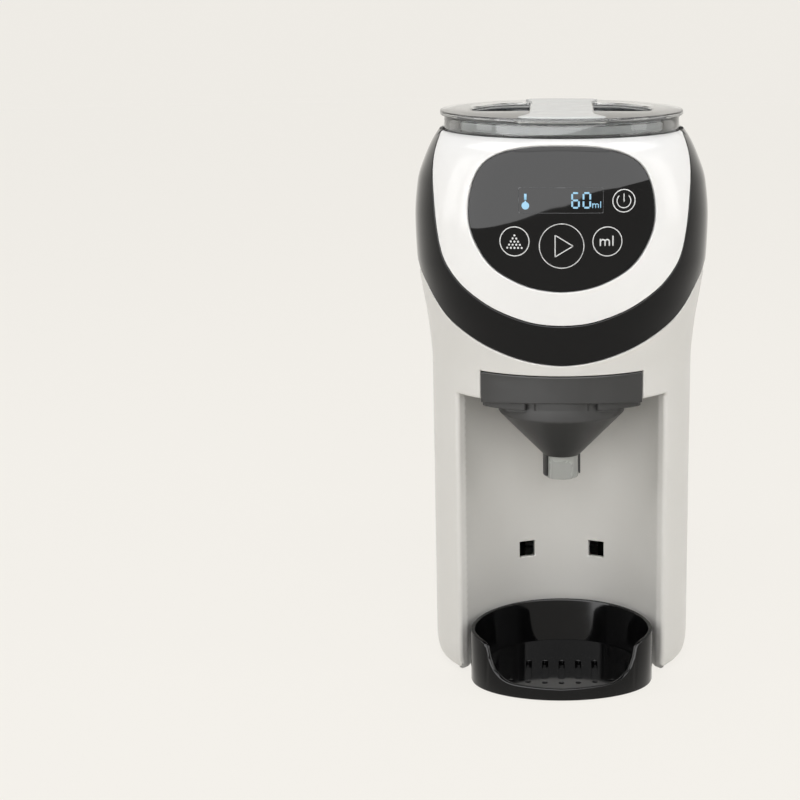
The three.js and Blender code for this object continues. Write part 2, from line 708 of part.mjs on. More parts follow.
const stemDrop = 6;
const stemBottom = seatFloor - stemDrop;
const hubTop = guardBottom + guardThick + gap;
const spindleHeight = 8;
const spindleTop = hubTop + spindleHeight;
const socketHalf = dogWidth / 2 + dogPlay;
function makeDosingWheel() {
  let wheel = turned([
    [0, stemBottom], [stemRadius, stemBottom], [stemRadius, wheelBottom], [wheelRadius, wheelBottom],
    [wheelRadius, wheelTop], [hubRadius, wheelTop], [hubRadius, hubTop], [spindleRadius, hubTop],
    [spindleRadius, spindleTop], [0, spindleTop],
  ]);
  for (let i = 0; i < pocketCount; i++) {
    const turn = (i / pocketCount) * Math.PI * 2 - Math.PI / 2;
    wheel = wheel.subtract(rod(pocketRadius, wheelBottom - overrun, wheelTop + gap,
      Math.cos(turn) * outletReach, Math.sin(turn) * outletReach, wheelFacets));
  }
  return wheel.subtract(block(-socketHalf, socketHalf, -socketHalf, socketHalf, 0, wheelBottom));
}

const stirrerArms = 3;
const armWidth = 5;
const armThick = 3;
const bladeHeight = 22;
const bladeWidth = 6;
const bladeClear = 3;
const stirrerHub = hubRadius + 1;
const stirrerTurn = 30; // degrees from X to the first arm
function makeStirrer() {
  const low = hubTop + gap;
  const reach = containerInner - bladeClear;
  let stirrer = ring(spindleRadius + gap, stirrerHub, low, spindleTop + wall, 0, 0, stemFacets);
  for (let i = 0; i < stirrerArms; i++) {
    const arm = block(spindleRadius + wall, reach, -armWidth / 2, armWidth / 2, low, low + armThick);
    const blade = block(reach - bladeWidth, reach, -armThick / 2, armThick / 2, low, low + bladeHeight);
    stirrer = stirrer.add(arm.add(blade).rotate([0, 0, (360 / stirrerArms) * i + stirrerTurn]));
  }
  return stirrer;
}

// Gear drive under the seat. The teeth's flanks run straight between two points of the involute, and the
// first tooth's middle is at angle zero.
const pressureAngle = 20;
const addendumShare = 0.8;
const dedendumShare = 1.2;
function gearOutline(teeth) {
  const pitch = (gearModule * teeth) / 2;
  const base = pitch * Math.cos(THREE.MathUtils.degToRad(pressureAngle));
  const involute = (radius) => {
    const lean = Math.acos(Math.min(1, base / radius));
    return Math.tan(lean) - lean;
  };
  const tip = pitch + gearModule * addendumShare;
  const root = pitch - gearModule * dedendumShare;
  const pitchHalf = Math.PI / (2 * teeth) - gearBacklash / (4 * pitch);
  const half = (radius) => pitchHalf + involute(pitch) - involute(radius);
  const outline = [];
  for (let i = 0; i < teeth; i++) {
    const middle = (i / teeth) * Math.PI * 2;
    const flank = [[root, half(Math.max(root, base))], [tip, half(tip)]];
    const side = [...flank.map(([r, a]) => [r, -a]), ...flank.reverse()];
    for (const [radius, angle] of side) {
      outline.push([radius * Math.cos(middle + angle), radius * Math.sin(middle + angle)]);
    }
  }
  return outline;
}

const gearPitch = (gearModule * gearTeeth) / 2;
const pinionPitch = (gearModule * pinionTeeth) / 2;
const motorY = gearPitch + pinionPitch;
const caseDrop = 29;
const caseFloor = seatFloor - caseDrop;
const caseClear = 2.5;
const gearUnder = 2;
const gearOver = 3;
const gearBottom = caseFloor + wall + gearUnder;
const gearTop = gearBottom + gearThick;
const caseTop = gearTop + gearOver;
const shaftFacets = 20;
const motorBossRadius = 3;
function caseOutline(offset) {
  const large = gearPitch + gearModule + caseClear + offset;
  const small = pinionPitch + gearModule + caseClear + offset;
  const lean = THREE.MathUtils.radToDeg(Math.asin((large - small) / motorY));
  return [...arc(0, 0, large, 180 - lean, 360 + lean, 14), ...arc(0, motorY, small, lean, 180 - lean, 5)];
}

function makeGearCase() {
  const body = prism(caseOutline(wall), caseFloor, caseTop).subtract(
    prism(caseOutline(0), caseFloor + wall, caseTop + overrun));
  return cut(body, rod(shaftRadius + bearingPlay, 0, bodyTop, 0, 0, shaftFacets),
    rod(motorBossRadius, 0, bodyTop, 0, motorY));
}

const coverLow = caseTop + gap;
const coverHigh = coverLow + wall;
const coverPosts = [[-17, -8], [17, -8], [0, motorY]];
function makeGearCover() {
  let cover = prism(caseOutline(wall), coverLow, coverHigh)
    .subtract(rod(shaftRadius + bearingPlay, 0, bodyTop, 0, 0, shaftFacets));
  for (const [x, y] of coverPosts) cover = cover.add(rod(screwPostRadius, coverLow, seatFloor - gap, x, y));
  return cover;
}

const makeDriveGear = () => prism(gearOutline(gearTeeth).map(([x, y]) => [y, x]), gearBottom, gearTop)
  .subtract(rod(shaftRadius + bearingPlay, 0, bodyTop, 0, 0, shaftFacets));

const shaftEnd = 1; // below the top of its socket
const collarFlange = 1.5;
const collarThick = 1.7;
const dogRadius = 4.66;
function makeDriveShaft() {
  const collar = gearTop + gap;
  const shaft = turned([
    [0, caseFloor + gap], [shaftRadius, caseFloor + gap], [shaftRadius, collar],
    [shaftRadius + collarFlange, collar], [shaftRadius + collarFlange, collar + collarThick],
    [shaftRadius, collar + collarThick], [shaftRadius, stemBottom - gap], [0, stemBottom - gap],
  ], 0, 0, shaftFacets);
  const half = dogWidth / 2;
  const dog = block(-half, half, -half, half, stemBottom - 2 * gap, wheelBottom - shaftEnd)
    .intersect(rod(dogRadius, stemBottom - 2 * gap, wheelBottom, 0, 0, stemFacets));
  return shaft.add(dog);
}

const motorRadius = 14;
const motorLength = 41.7;
const motorBottom = caseFloor - gap - motorLength;
const motorCapRadius = 5;
const motorCapHeight = 3;
const pinionShaft = 1.3;
const pinionShaftLength = 9; // inside the motor
const pinionShaftEnd = 1;
function makePinion() {
  const halfTooth = Math.PI / pinionTeeth;
  const turn = -Math.PI / 2 + halfTooth;
  const outline = gearOutline(pinionTeeth).map(([x, y]) => [
    x * Math.cos(turn) - y * Math.sin(turn), x * Math.sin(turn) + y * Math.cos(turn) + motorY,
  ]);
  return join(prism(outline, gearBottom, gearTop),
    rod(pinionShaft, caseFloor - pinionShaftLength, gearTop + pinionShaftEnd, 0, motorY));
}

const makeMotor = () => cut(
  join(rod(motorRadius, motorBottom, caseFloor - gap, 0, motorY, stemFacets),
    rod(motorCapRadius, motorBottom - motorCapHeight, motorBottom + gap, 0, motorY)),
  rod(pinionShaft + gap, caseFloor - pinionShaftLength - gap, caseFloor, 0, motorY));

// Dock above the funnel, with the spout that sends warm water into it.
const spoutSide = 20; // water spout beside and behind the powder outlet
const spoutBehind = 8;
const spoutAt = [spoutSide, spoutBehind - outletReach];
const spoutBore = 1.6;
const dockOverhang = 5;
const dockLeg = 2.2;
const dockBack = slotBack + dockOverhang;
function makeDock() {
  const high = dockTop;
  const plate = block(-dockHalfWidth, dockHalfWidth, skinFront, dockBack, dockHeight, high);
  const legs = [-1, 1].map((side) => {
    const span = between(side * dockHalfWidth, side * (dockHalfWidth - dockLeg));
    return block(...span, skinFront, dockBack, ceilingTop + gap, dockHeight + gap);
  });
  const inside = bodyLoft(wall + gap, bayCeiling - overrun, high + overrun);
  return cut(join(plate, ...legs).intersect(inside), rod(chuteInner, 0, bodyTop, 0, -outletReach, stemFacets),
    rod(spoutBore + 1, 0, bodyTop, ...spoutAt));
}

const spoutHeight = 7.5;
const spoutTop = dockTop + spoutHeight;
const spoutFlange = 6;
const spoutBarb = 3;
const makeWaterSpout = () => turned([
  [spoutBore, dockTop + gap], [spoutFlange, dockTop + gap], [spoutFlange, dockTop + wall],
  [spoutBarb, spoutTop - wall], [spoutBarb, spoutTop], [spoutBore, spoutTop], [spoutBore, dockTop + gap],
], ...spoutAt, fine);

// Funnel: skirt flush with the head's front, runners on the bay's ceiling, cup, cone and outlet.
const runnerThick = 2.5;
const runnerLow = ceilingTop + gap;
const runnerBack = -3;
const lipInsets = [2, 4];
const windowShare = 0.8; // of the spout's radius, left of which the neck's sleeve stays
function makeFunnel() {
  const y = -outletReach;
  const inner = cupRadius - cupThick;
  const shoulderLow = bayCeiling - shoulderDrop;
  const bore = spoutRadius - spoutWall;
  const sleeveEnd = spoutBottom + spoutProud;
  const bowl = turned([
    [spoutRadius, sleeveEnd], [spoutRadius, coneBottom], [coneTopRadius, coneTop],
    [cupRadius, shoulderLow], [cupRadius, cupTop], [inner, cupTop], [inner, shoulderLow],
    [coneTopRadius - cupThick, coneTop + cupThick / 2], [bore, coneBottom + cupThick], [bore, sleeveEnd],
    [spoutRadius, sleeveEnd],
  ], 0, y);
  const high = skirtTop;
  const side = skirtHalfWidth;
  const skirt = bodyLoft(0, bayCeiling - overrun, high + overrun)
    .subtract(bodyLoft(skirtThick, bayCeiling - 2 * overrun, high + 2 * overrun))
    .intersect(block(-side, side, skinFront, bayCentre + wall, bayCeiling - skirtDrop, high));
  const within = bodyLoft(skirtThick / 2, bayCeiling - 2 * overrun, high);
  const runnerSide = side - 2 * gap;
  const runners = block(-runnerSide, runnerSide, skinFront, runnerBack, runnerLow, runnerLow + runnerThick)
    .intersect(within).subtract(rod(cupRadius - cupThick / 2, 0, bodyTop, 0, y, round));
  const lip = (inset, low, top) =>
    block(-side + inset, side - inset, skinFront, y, low, top)
      .intersect(bodyLoft(skirtThick / 2 + inset / 2, bayCeiling - 2 * overrun, high))
      .subtract(rod(cupRadius - cupThick / 2, 0, bodyTop, 0, y, round));
  const step = shoulderDrop / lipInsets.length;
  const lips = lipInsets.map((inset, i) => lip(inset, bayCeiling - step * (i + 1), bayCeiling - gap));
  const window = block(-spoutRadius * windowShare, cupRadius, y - cupRadius, y, 0, coneBottom - gap);
  return join(bowl, skirt, runners, ...lips).subtract(window);
}

const tubeOuter = spoutRadius - spoutWall - gap;
const makeSpout = () => ring(tubeOuter - spoutTubeWall, tubeOuter, spoutBottom, coneBottom + cupThick,
  0, -outletReach, stemFacets);

const funnelCoverThick = 1.2;
const coverHole = outletRadius + 3;
const waterHole = 4;
const coverBottom = cupTop + gap;
const makeFunnelCover = () => cut(
  rod(cupRadius, coverBottom, coverBottom + funnelCoverThick, 0, -outletReach, round)
    .intersect(bodyLoft(skirtThick + gap, bayCeiling, skirtTop + overrun)),
  rod(coverHole, 0, bodyTop, 0, -outletReach, stemFacets), rod(waterHole, 0, bodyTop, ...spoutAt));

// Container lid with a grip bar between two finger wells, and its seal.
const lidBottom = neckTop + gap;
const lidTop = lidBottom + lidThick;
const plugOuter = neckInner - plugClear;
const lidFacets = 40;
function wellOutline(side, offset) {
  const inner = gripHalfWidth - offset;
  const radius = wellRadius + offset;
  const [front, back] = [wellFront - offset, wellBack + offset];
  const clampX = (y) => Math.sqrt(Math.max(0, radius * radius - y * y));
  const steps = 6;
  const rim = Array.from({ length: steps + 1 }, (_, i) => {
    const y = front + ((back - front) * i) / steps;
    return [Math.max(clampX(y), inner + wall), y];
  });
  const outline = [[inner, front], ...rim, [inner, back]];
  return side > 0 ? outline : outline.map(([x, y]) => [-x, y]).reverse();
}

function gripOutline() {
  const radius = lidRadius - gripInset;
  const ends = [-90, 90].flatMap((middle) => arc(0, 0, radius, middle - gripSpread, middle + gripSpread, 4));
  return ends.map(([x, y]) => [Math.sign(x) * Math.min(Math.abs(x), gripHalfWidth), y]);
}

function makeLid() {
  let lid = join(
    rod(lidRadius, lidBottom, lidTop, 0, 0, lidFacets),
    ring(plugOuter - containerThick, plugOuter, lidBottom - plugDepth, lidBottom + gap),
    prism(gripOutline(), lidTop - gap, lidTop + lidRise),
  );
  const floor = lidTop - wellDepth;
  for (const side of [-1, 1]) {
    lid = cut(lid.add(prism(wellOutline(side, wellWall), floor, lidTop)),
      prism(wellOutline(side, 0), floor + wellWall, lidTop + overrun));
  }
  return lid;
}

const sealLow = 1;
const sealHeight = 4;
const makeLidSeal = () => {
  const low = lidBottom - plugDepth + sealLow;
  return ring(plugOuter + gap, neckInner - gap, low, low + sealHeight);
};

// Drip tray: round at the back, elliptic at the front, with its rim swept down in front.
function trayOutline(inset) {
  const radius = trayRadius - inset;
  const reach = trayReach + bayCentre - inset;
  const steps = 18;
  const front = Array.from({ length: steps - 1 }, (_, i) => {
    const turn = Math.PI + (Math.PI * (i + 1)) / steps;
    return [Math.cos(turn) * radius, bayCentre + Math.sin(turn) * reach];
  });
  return [...arc(0, bayCentre, radius, 0, 180, 16), ...front];
}

function makeTray() {
  const [side, above] = [trayRadius + overrun, trayHeight + overrun];
  const sweep = scaled(traySwoopShares, trayRadius, trayHeight);
  const swoop = mirrored([...sweep, [side, trayHeight], [side, above], [0, above]]);
  let tray = cut(prism(trayOutline(0), 0, trayHeight), prism(trayOutline(trayWall), trayFloor, above),
    frontPrism(swoop, -trayReach - overrun, bayCentre));
  const level = hookLevels[0];
  for (const middle of [-hookOffset, hookOffset]) {
    tray = tray.add(block(middle - hookWidth / 2, middle + hookWidth / 2,
      bayCentre + trayRadius - hookWidth, bayCentre + bayRadius + wall,
      level - hookHeight / 2, level + hookHeight / 2)
      .subtract(prism(trayOutline(trayWall / 2), 0, trayHeight)));
  }
  return tray;
}

const plateThick = 2;
const drainCount = 7;
const drainSpacing = 9.3;
const drainInset = 14;
const drainRadius = 1.2;
const drainFacets = 8;
const slotCount = 5;
const slotHalfWidth = 1.5;
const slotHalfLength = 14;
function makeDripPlate() {
  const low = trayFloor + gap;
  let plate = prism(trayOutline(trayWall + gap), low, low + plateThick);
  for (let i = 0; i < drainCount; i++) {
    const x = (i - (drainCount - 1) / 2) * drainSpacing;
    const reach = trayReach + bayCentre - drainInset;
    const y = bayCentre - reach * Math.sqrt(1 - (x / (trayRadius - drainInset / 3)) ** 2);
    plate = plate.subtract(rod(drainRadius, 0, trayHeight, x, y, drainFacets));
  }
  for (let i = 0; i < slotCount; i++) {
    const x = (i - (slotCount - 1) / 2) * drainSpacing;
    const [front, back] = [bayCentre - slotHalfLength, bayCentre + slotHalfLength];
    plate = plate.subtract(block(x - slotHalfWidth, x + slotHalfWidth, front, back, 0, trayHeight));
  }
  return plate;
}

// Water tank with its guide for the float, lid, valve and float.
function tankOutline(inset) {
  const half = tankHalfWidth - inset;
  const [front, back] = [columnBack + 2 * gap + inset, tankBack - inset];
  const rear = tankCorner - inset;
  const near = tankFrontCorner - inset;
  return [
    ...arc(half - near, front + near, near, -90, 0, 3), ...arc(half - rear, back - rear, rear, 0, 90, 7),
    ...arc(rear - half, back - rear, rear, 90, 180, 7), ...arc(near - half, front + near, near, 180, 270, 3),
  ];
}

const tankBottom = ledgeHeight + gap;
const tankInside = tankBottom + wall;
const floatRadius = 10;
const floatY = columnBack + 2 * gap + tankWall + gap + floatRadius;
const floatHeight = 12;
const floatTravel = 20;
const guideRadius = 2.5;
const floatFacets = 16;
const guideSpare = 4; // guide above the float's highest place
const guideCap = 1.5;
const guideCapThick = 2;
const hingeBarrel = 2.6;
const hingeInset = 1;
const hingeY = tankBack - hingeBarrel - hingeInset;
const hingeZ = tankTop + gap + hingeBarrel;
const hingeFacets = 16;
const earHalf = 30;
const earThick = 4;
const earDepth = 12;
const earWall = 1.5;
function makeTank() {
  const body = prism(tankOutline(0), tankBottom, tankTop).subtract(
    prism(tankOutline(tankWall), tankInside, tankTop + overrun));
  const guideTop = tankInside + floatHeight + floatTravel + guideSpare;
  const guide = join(rod(guideRadius, tankInside - gap, guideTop, floatX, floatY),
    rod(guideRadius + guideCap, guideTop - guideCapThick, guideTop, floatX, floatY));
  const valveHole = rod(valveRadius + gap, 0, tankInside + overrun, 0, valveY, valveFacets);
  let tank = join(body, guide).subtract(valveHole);
  for (const side of [-1, 1]) {
    const [x0, x1] = between(side * earHalf, side * (earHalf + earThick));
    const earTop = hingeZ + hingePinRadius + earWall;
    const ear = block(x0, x1, hingeY - earThick, tankBack, tankTop - earDepth, earTop);
    const bore = rodAlongX(hingePinRadius + bearingPlay, x0 - gap, x1 + gap, hingeY, hingeZ, hingeFacets);
    tank = tank.add(ear).subtract(bore);
  }
  return tank;
}

const lidClear = 1;
const slotClear = 8; // the ear slots' depth in front of the hinge
function makeTankLid() {
  const low = tankTop + gap;
  const high = tankTop + tankLidThick;
  let lid = prism(tankOutline(0), low, high);
  for (const side of [-1, 1]) {
    const span = between(side * (earHalf - lidClear), side * (earHalf + earThick + lidClear));
    lid = lid.subtract(block(...span, hingeY - slotClear, tankBack + overrun, 0, bodyTop));
  }
  const behind = block(-headHalfWidth, headHalfWidth, hingeY, tankBack + overrun, 0, bodyTop);
  const pin = rodAlongX(hingePinRadius, -earHalf - earThick, earHalf + earThick, hingeY, hingeZ, hingeFacets);
  const barrel = rodAlongX(hingeBarrel, lidClear - earHalf, earHalf - lidClear, hingeY, hingeZ, hingeFacets);
  return join(lid.subtract(behind), pin, barrel);
}

const valveFlange = 3.5;
const valveFlangeThick = 2;
const valveTop = tankInside + gap + valveFlangeThick;
const webDrop = 0.5; // web's underside below the tank's
const webBottom = tankBottom - webDrop;
const stemHalf = 1.8;
const collarRadius = 3.6;
const collarHeight = 1.5;
const collarBore = collarRadius + 1;
const valveBottom = 16;
const collarLow = 14.2;
const valveLift = 2.4; // how far the dock's pin holds the poppet off its seat
const makeValveBody = () => turned([
  [stemHalf + gap, webBottom], [collarBore, webBottom], [collarBore, valveBottom],
  [valveRadius, valveBottom], [valveRadius, tankInside + gap], [valveRadius + valveFlange, tankInside + gap],
  [valveRadius + valveFlange, valveTop], [stemHalf + gap, valveTop], [stemHalf + gap, webBottom],
], 0, valveY, valveFacets);

const poppetLow = valveTop + gap + valveLift;
const poppetRadius = 6.5;
const poppetThick = 2.2;
const collarTop = collarLow + collarHeight;
const makePoppet = () => turned([
  [0, collarLow], [collarRadius, collarLow], [collarRadius, collarTop], [stemHalf, collarTop],
  [stemHalf, poppetLow], [poppetRadius, poppetLow], [poppetRadius, poppetLow + poppetThick],
  [0, poppetLow + poppetThick],
], 0, valveY, valveFacets);

// Compression spring round the poppet's stem: one tube along a helix.
const springWire = 0.45; // radius of the wire
const springRadius = 2.9;
const springTurns = 4;
function makeSpring() {
  const wire = springWire;
  const perTurn = 8;
  const sides = 4;
  const low = collarTop + wire + gap / 3;
  const high = webBottom - wire - gap / 3;
  const places = [];
  const index = [];
  const steps = springTurns * perTurn;
  for (let i = 0; i <= steps; i++) {
    const turn = (i / perTurn) * Math.PI * 2;
    const z = low + ((high - low) * i) / steps;
    for (let j = 0; j < sides; j++) {
      const lean = (j / sides) * Math.PI * 2;
      const r = springRadius + wire * Math.cos(lean);
      places.push(r * Math.cos(turn), valveY + r * Math.sin(turn), z + wire * Math.sin(lean));
      if (i === steps) continue;
      const [a, b] = [i * sides + j, i * sides + ((j + 1) % sides)];
      index.push(a, a + sides, b, b, a + sides, b + sides);
    }
  }
  for (let j = 1; j + 1 < sides; j++) {
    index.push(0, j, j + 1);
    const end = steps * sides;
    index.push(end, end + j + 1, end + j);
  }
  const geometry = new THREE.BufferGeometry();
  geometry.setAttribute("position", new THREE.Float32BufferAttribute(places, 3));
  geometry.setIndex(index);
  return solidOf(geometry);
}

const dockPlay = 1.7;
const dockInner = valveRadius + dockPlay;
const ringLow = 19;
const ringHigh = 21.5;
const makeValveSeal = () => ring(valveRadius + gap / 3, dockInner - gap, ringLow, ringHigh,
  0, valveY, valveFacets);

const portHeight = 14;
const portRadius = 3;
const portBore = 1.8;
const portLength = 8;
const dockFloorThick = 2;
const dockPinRadius = 1.5;
const dockFlange = 2.7;
function makeTankDock() {
  const floor = plateTop + gap;
  const inside = floor + dockFloorThick;
  const top = ledgeHeight - gap;
  const flangeTop = ledgeHeight - wall - gap;
  const flange = dockRadius + dockFlange;
  const cup = turned([
    [0, floor], [dockRadius, floor], [dockRadius, flangeTop - wall], [flange, flangeTop - wall],
    [flange, flangeTop], [dockRadius, flangeTop], [dockRadius, top], [dockInner, top], [dockInner, inside],
    [0, inside],
  ], 0, valveY, valveFacets);
  const pin = rod(dockPinRadius, floor + gap, collarLow - gap, 0, valveY, screwFacets);
  const front = valveY - dockRadius;
  const port = rodAlongY(portRadius, front - portLength, front + portBore, 0, portHeight);
  const bore = rodAlongY(portBore, front - portLength - gap, valveY - dockInner + portBore,
    0, portHeight, portFacets);
  return join(cup, pin, port).subtract(bore);
}

const makeFloat = () => {
  const low = tankInside + gap;
  return ring(guideRadius + 2 * gap, floatRadius, low, low + floatHeight, floatX, floatY, floatFacets);
};
const sensorHalf = 8;
const sensorThick = 8;
const sensorHeight = 20;
const makeFloatSensor = () => {
  const back = columnBack - wall - gap;
  return block(floatX - sensorHalf, floatX + sensorHalf, back - sensorThick, back,
    tankInside, tankInside + sensorHeight);
};

// Water path inside the column: pump on the base, heater above it, hoses between them.
const pumpInset = 40; // column's back to the pump's axis
const pumpY = columnBack - pumpInset;
const pumpRadius = 19;
const pumpTop = 29;
const impellerRadius = 13.5;
const impellerShaft = 2;
const impellerClear = 1;
const impellerPlate = 2;
const impellerBlades = 6;
const bladeHalf = 0.8;
const bladeTopClear = 3;
const pumpFloor = plateTop + gap;
const pumpFloorThick = 5;
const pumpCoverThick = 2.7;
const pumpOutletHeight = 20;
const pumpFacets = 16;
function makePumpBody() {
  const chamber = rod(impellerRadius + impellerClear, pumpFloor + pumpFloorThick, pumpTop + gap,
    0, pumpY, pumpFacets);
  const body = rod(pumpRadius, pumpFloor, pumpTop, 0, pumpY, pumpFacets).subtract(chamber);
  const back = pumpY + pumpRadius;
  const reach = pumpRadius + portLength;
  const inlet = rodAlongY(portRadius, back - impellerClear, back + portLength, 0, portHeight);
  const outlet = rodAlongX(portRadius, -reach, impellerClear - pumpRadius, pumpY, pumpOutletHeight);
  return cut(join(body, inlet, outlet),
    rodAlongY(portBore, pumpY + impellerRadius, back + portLength + gap, 0, portHeight, portFacets),
    rodAlongX(portBore, -reach - gap, -impellerRadius, pumpY, pumpOutletHeight, portFacets));
}

const pumpCoverTop = pumpTop + gap + pumpCoverThick;
const makePumpCover = () => ring(impellerShaft + 2 * gap, pumpRadius, pumpTop + gap, pumpCoverTop,
  0, pumpY, pumpFacets);
const impellerShaftEnd = 12; // shaft inside the motor
function makeImpeller() {
  const low = pumpFloor + pumpFloorThick + gap;
  const shaft = rod(impellerShaft, low, pumpCoverTop + impellerShaftEnd, 0, pumpY);
  let wheel = join(shaft, rod(impellerRadius, low, low + impellerPlate, 0, pumpY, pumpFacets));
  for (let i = 0; i < impellerBlades; i++) {
    const blade = block(0, impellerRadius - bladeHalf, -bladeHalf, bladeHalf, low, pumpTop - bladeTopClear);
    wheel = wheel.add(blade.rotate([0, 0, (360 / impellerBlades) * i]).translate([0, pumpY, 0]));
  }
  return wheel;
}

const pumpMotorRadius = 15;
const pumpMotorLength = 43.7;
const pumpMotorTop = pumpCoverTop + gap + pumpMotorLength;
const makePumpMotor = () => rod(pumpMotorRadius, pumpCoverTop + gap, pumpMotorTop, 0, pumpY, pumpFacets)
  .subtract(rod(impellerShaft + gap, pumpCoverTop, pumpCoverTop + impellerShaftEnd + gap, 0, pumpY));

const heaterX = -(pumpMotorRadius + columnHalfWidth) / 2;
const heaterInset = 52; // column's back to the heater's axis
const heaterY = columnBack - heaterInset;
const heaterHalf = 17;
const heaterShares = [0.181, 0.477]; // its ends, of the body's height
const [heaterLow, heaterHigh] = heaterShares.map((share) => share * bodyTop);
const finCount = 7;
const finStart = 12;
const finPitch = 11;
const finDepth = 3;
const finHalf = 2;
function makeHeater() {
  const body = block(heaterX - heaterHalf, heaterX + heaterHalf, heaterY - heaterHalf, heaterY + heaterHalf,
    heaterLow, heaterHigh);
  const ports = rod(portRadius, heaterLow - portLength, heaterHigh + portLength, heaterX, heaterY);
  let heater = join(body, ports);
  for (let i = 0; i < finCount; i++) {
    const z = heaterLow + finStart + i * finPitch;
    const [x, half] = [heaterX - heaterHalf, heaterHalf + gap];
    heater = heater.subtract(
      block(x - gap, x + finDepth, heaterY - half, heaterY + half, z - finHalf, z + finHalf));
  }
  const reach = portLength + gap;
  return heater.subtract(rod(portBore, heaterLow - reach, heaterHigh + reach, heaterX, heaterY, portFacets));
}

const cutoutRadius = 6;
const cutoutThick = 5;
const cutoutRise = 55; // above the heater's underside
const cutoutHeight = heaterLow + cutoutRise;
const makeCutout = () => {
  const back = heaterY - heaterHalf - gap;
  return rodAlongY(cutoutRadius, back - cutoutThick, back, heaterX, cutoutHeight, pumpFacets);
};

// Hoses. The long ones' routes are points chosen by hand between their two ports, as shares of the
// way in X, in Y and, for the spout's hose, of the height between the funnel's dock and the gear case.
const hoseRadius = 4;
const hoseBore = 2;
const thinHoseRadius = 3.5;
const hoseLead = 4; // straight run at a port
const inletHoseEnds = [valveY - dockRadius - portLength - gap, pumpY + pumpRadius + portLength + gap];
const makeInletHose = () => hose(
  [[0, inletHoseEnds[0], portHeight], [0, inletHoseEnds[1], portHeight]], hoseRadius, hoseBore, 3);
const heaterHoseStart = -pumpRadius - portLength - gap;
const heaterHoseShares = [[0.7, 0.25, 0.15], [1, 0.75, 0.6]];
const makeHeaterHose = () => {
  const start = [heaterHoseStart, pumpY, pumpOutletHeight];
  const end = [heaterX, heaterY, heaterLow - portLength - gap];
  const middle = heaterHoseShares.map((shares) =>
    shares.map((share, i) => start[i] + share * (end[i] - start[i])));
  const leads = [[start[0] - hoseLead, start[1], start[2]], [end[0], end[1], end[2] - hoseLead]];
  return hose([start, leads[0], ...middle, leads[1], end], hoseRadius, hoseBore, 9);
};
const spoutHoseShares = [
  [0.047, 0.133, 0], [0.15, 0.32, 0.573], [0.3, 0.6, 0.824], [0.5, 0.8, 0.908], [0.8, 0.9, 0.908],
  [0.953, 0.956, 0.699],
];
const makeSpoutHose = () => {
  const start = [heaterX, heaterY, heaterHigh + portLength + gap];
  const end = [...spoutAt, spoutTop + gap];
  const low = dockTop + thinHoseRadius + gap;
  const high = caseFloor - thinHoseRadius - gap;
  const middle = spoutHoseShares.map(([x, y, z]) => [
    start[0] + x * (end[0] - start[0]), start[1] + y * (end[1] - start[1]), low + z * (high - low),
  ]);
  const leads = [start, end].map(([x, y, z]) => [x, y, z + hoseLead]);
  return hose([start, leads[0], ...middle, leads[1], end], thinHoseRadius, hoseBore, 15);
};

// Chassis plate that carries the heater on its front and the power board on its back.
const chassisInset = 32; // column's back to the chassis
const chassisY = columnBack - chassisInset;
const chassisThick = 2.5;
const chassisShare = 0.658; // of the body's height
const chassisTop = chassisShare * bodyTop;
const chassisSide = 9.1; // column's side to the chassis
const chassisHalf = columnHalfWidth - chassisSide;
const chassisFoot = 12;
const chassisClear = 4;
const padRadius = 4;
const padInset = 15;
const boardPostRadius = 2.5;
const boardPostLength = 4;
const powerBoardSide = 25.1; // column's side to the board
const powerBoardHalf = columnHalfWidth - powerBoardSide;
const boardPostInset = 8;
const boardPostX = powerBoardHalf - boardPostInset;
const powerBoardShares = [0.303, 0.625]; // its edges, of the body's height
const [powerBoardLow, powerBoardHigh] = powerBoardShares.map((share) => share * bodyTop);
function makeChassis() {
  const low = plateTop + gap;
  const back = chassisY + chassisThick;
  const plate = block(-chassisHalf, chassisHalf, chassisY, back, low, chassisTop);
  const foot = block(-chassisHalf, chassisHalf, chassisY, chassisY + chassisFoot, low, low + chassisThick);
  const pads = [heaterLow + padInset, heaterHigh - padInset].map((z) =>
    rodAlongY(padRadius, heaterY + heaterHalf + gap, chassisY + gap, heaterX, z));
  const heights = [powerBoardLow + boardPostLength * 2, powerBoardHigh - boardPostLength * 2];
  const posts = [-boardPostX, boardPostX].flatMap((x) => heights.map((z) =>
    rodAlongY(boardPostRadius, back - gap, back + boardPostLength, x, z)));
  const clear = pumpRadius + chassisClear;
  return join(plate, foot, ...pads, ...posts).subtract(block(-clear, clear, chassisY - gap,
    chassisY + chassisFoot + gap, 0, pumpMotorTop + chassisClear));
}

// Parts on the power board: width span, height span above its lower edge and how far they stand out.
const powerParts = [[[-30, -6], [12, 42], 15], [[8, 20], [18, 48], 12], [[22, 32], [58, 76], 10]];
const capacitorAt = [-22, 66];
const capacitorRadius = 7;
const capacitorLength = 14;
const powerBoardFront = chassisY + chassisThick + boardPostLength + gap;
function makePowerBoard() {
  const back = powerBoardFront + boardThick;
  const board = block(-powerBoardHalf, powerBoardHalf, powerBoardFront, back, powerBoardLow, powerBoardHigh);
  const parts = powerParts.map(([xs, zs, depth]) =>
    block(...xs, back - gap, back + depth, ...zs.map((z) => powerBoardLow + z)));
  const [x, height] = capacitorAt;
  const capacitor = rodAlongY(capacitorRadius, back - gap, back + capacitorLength, x, powerBoardLow + height);
  return join(board, ...parts, capacitor);
}

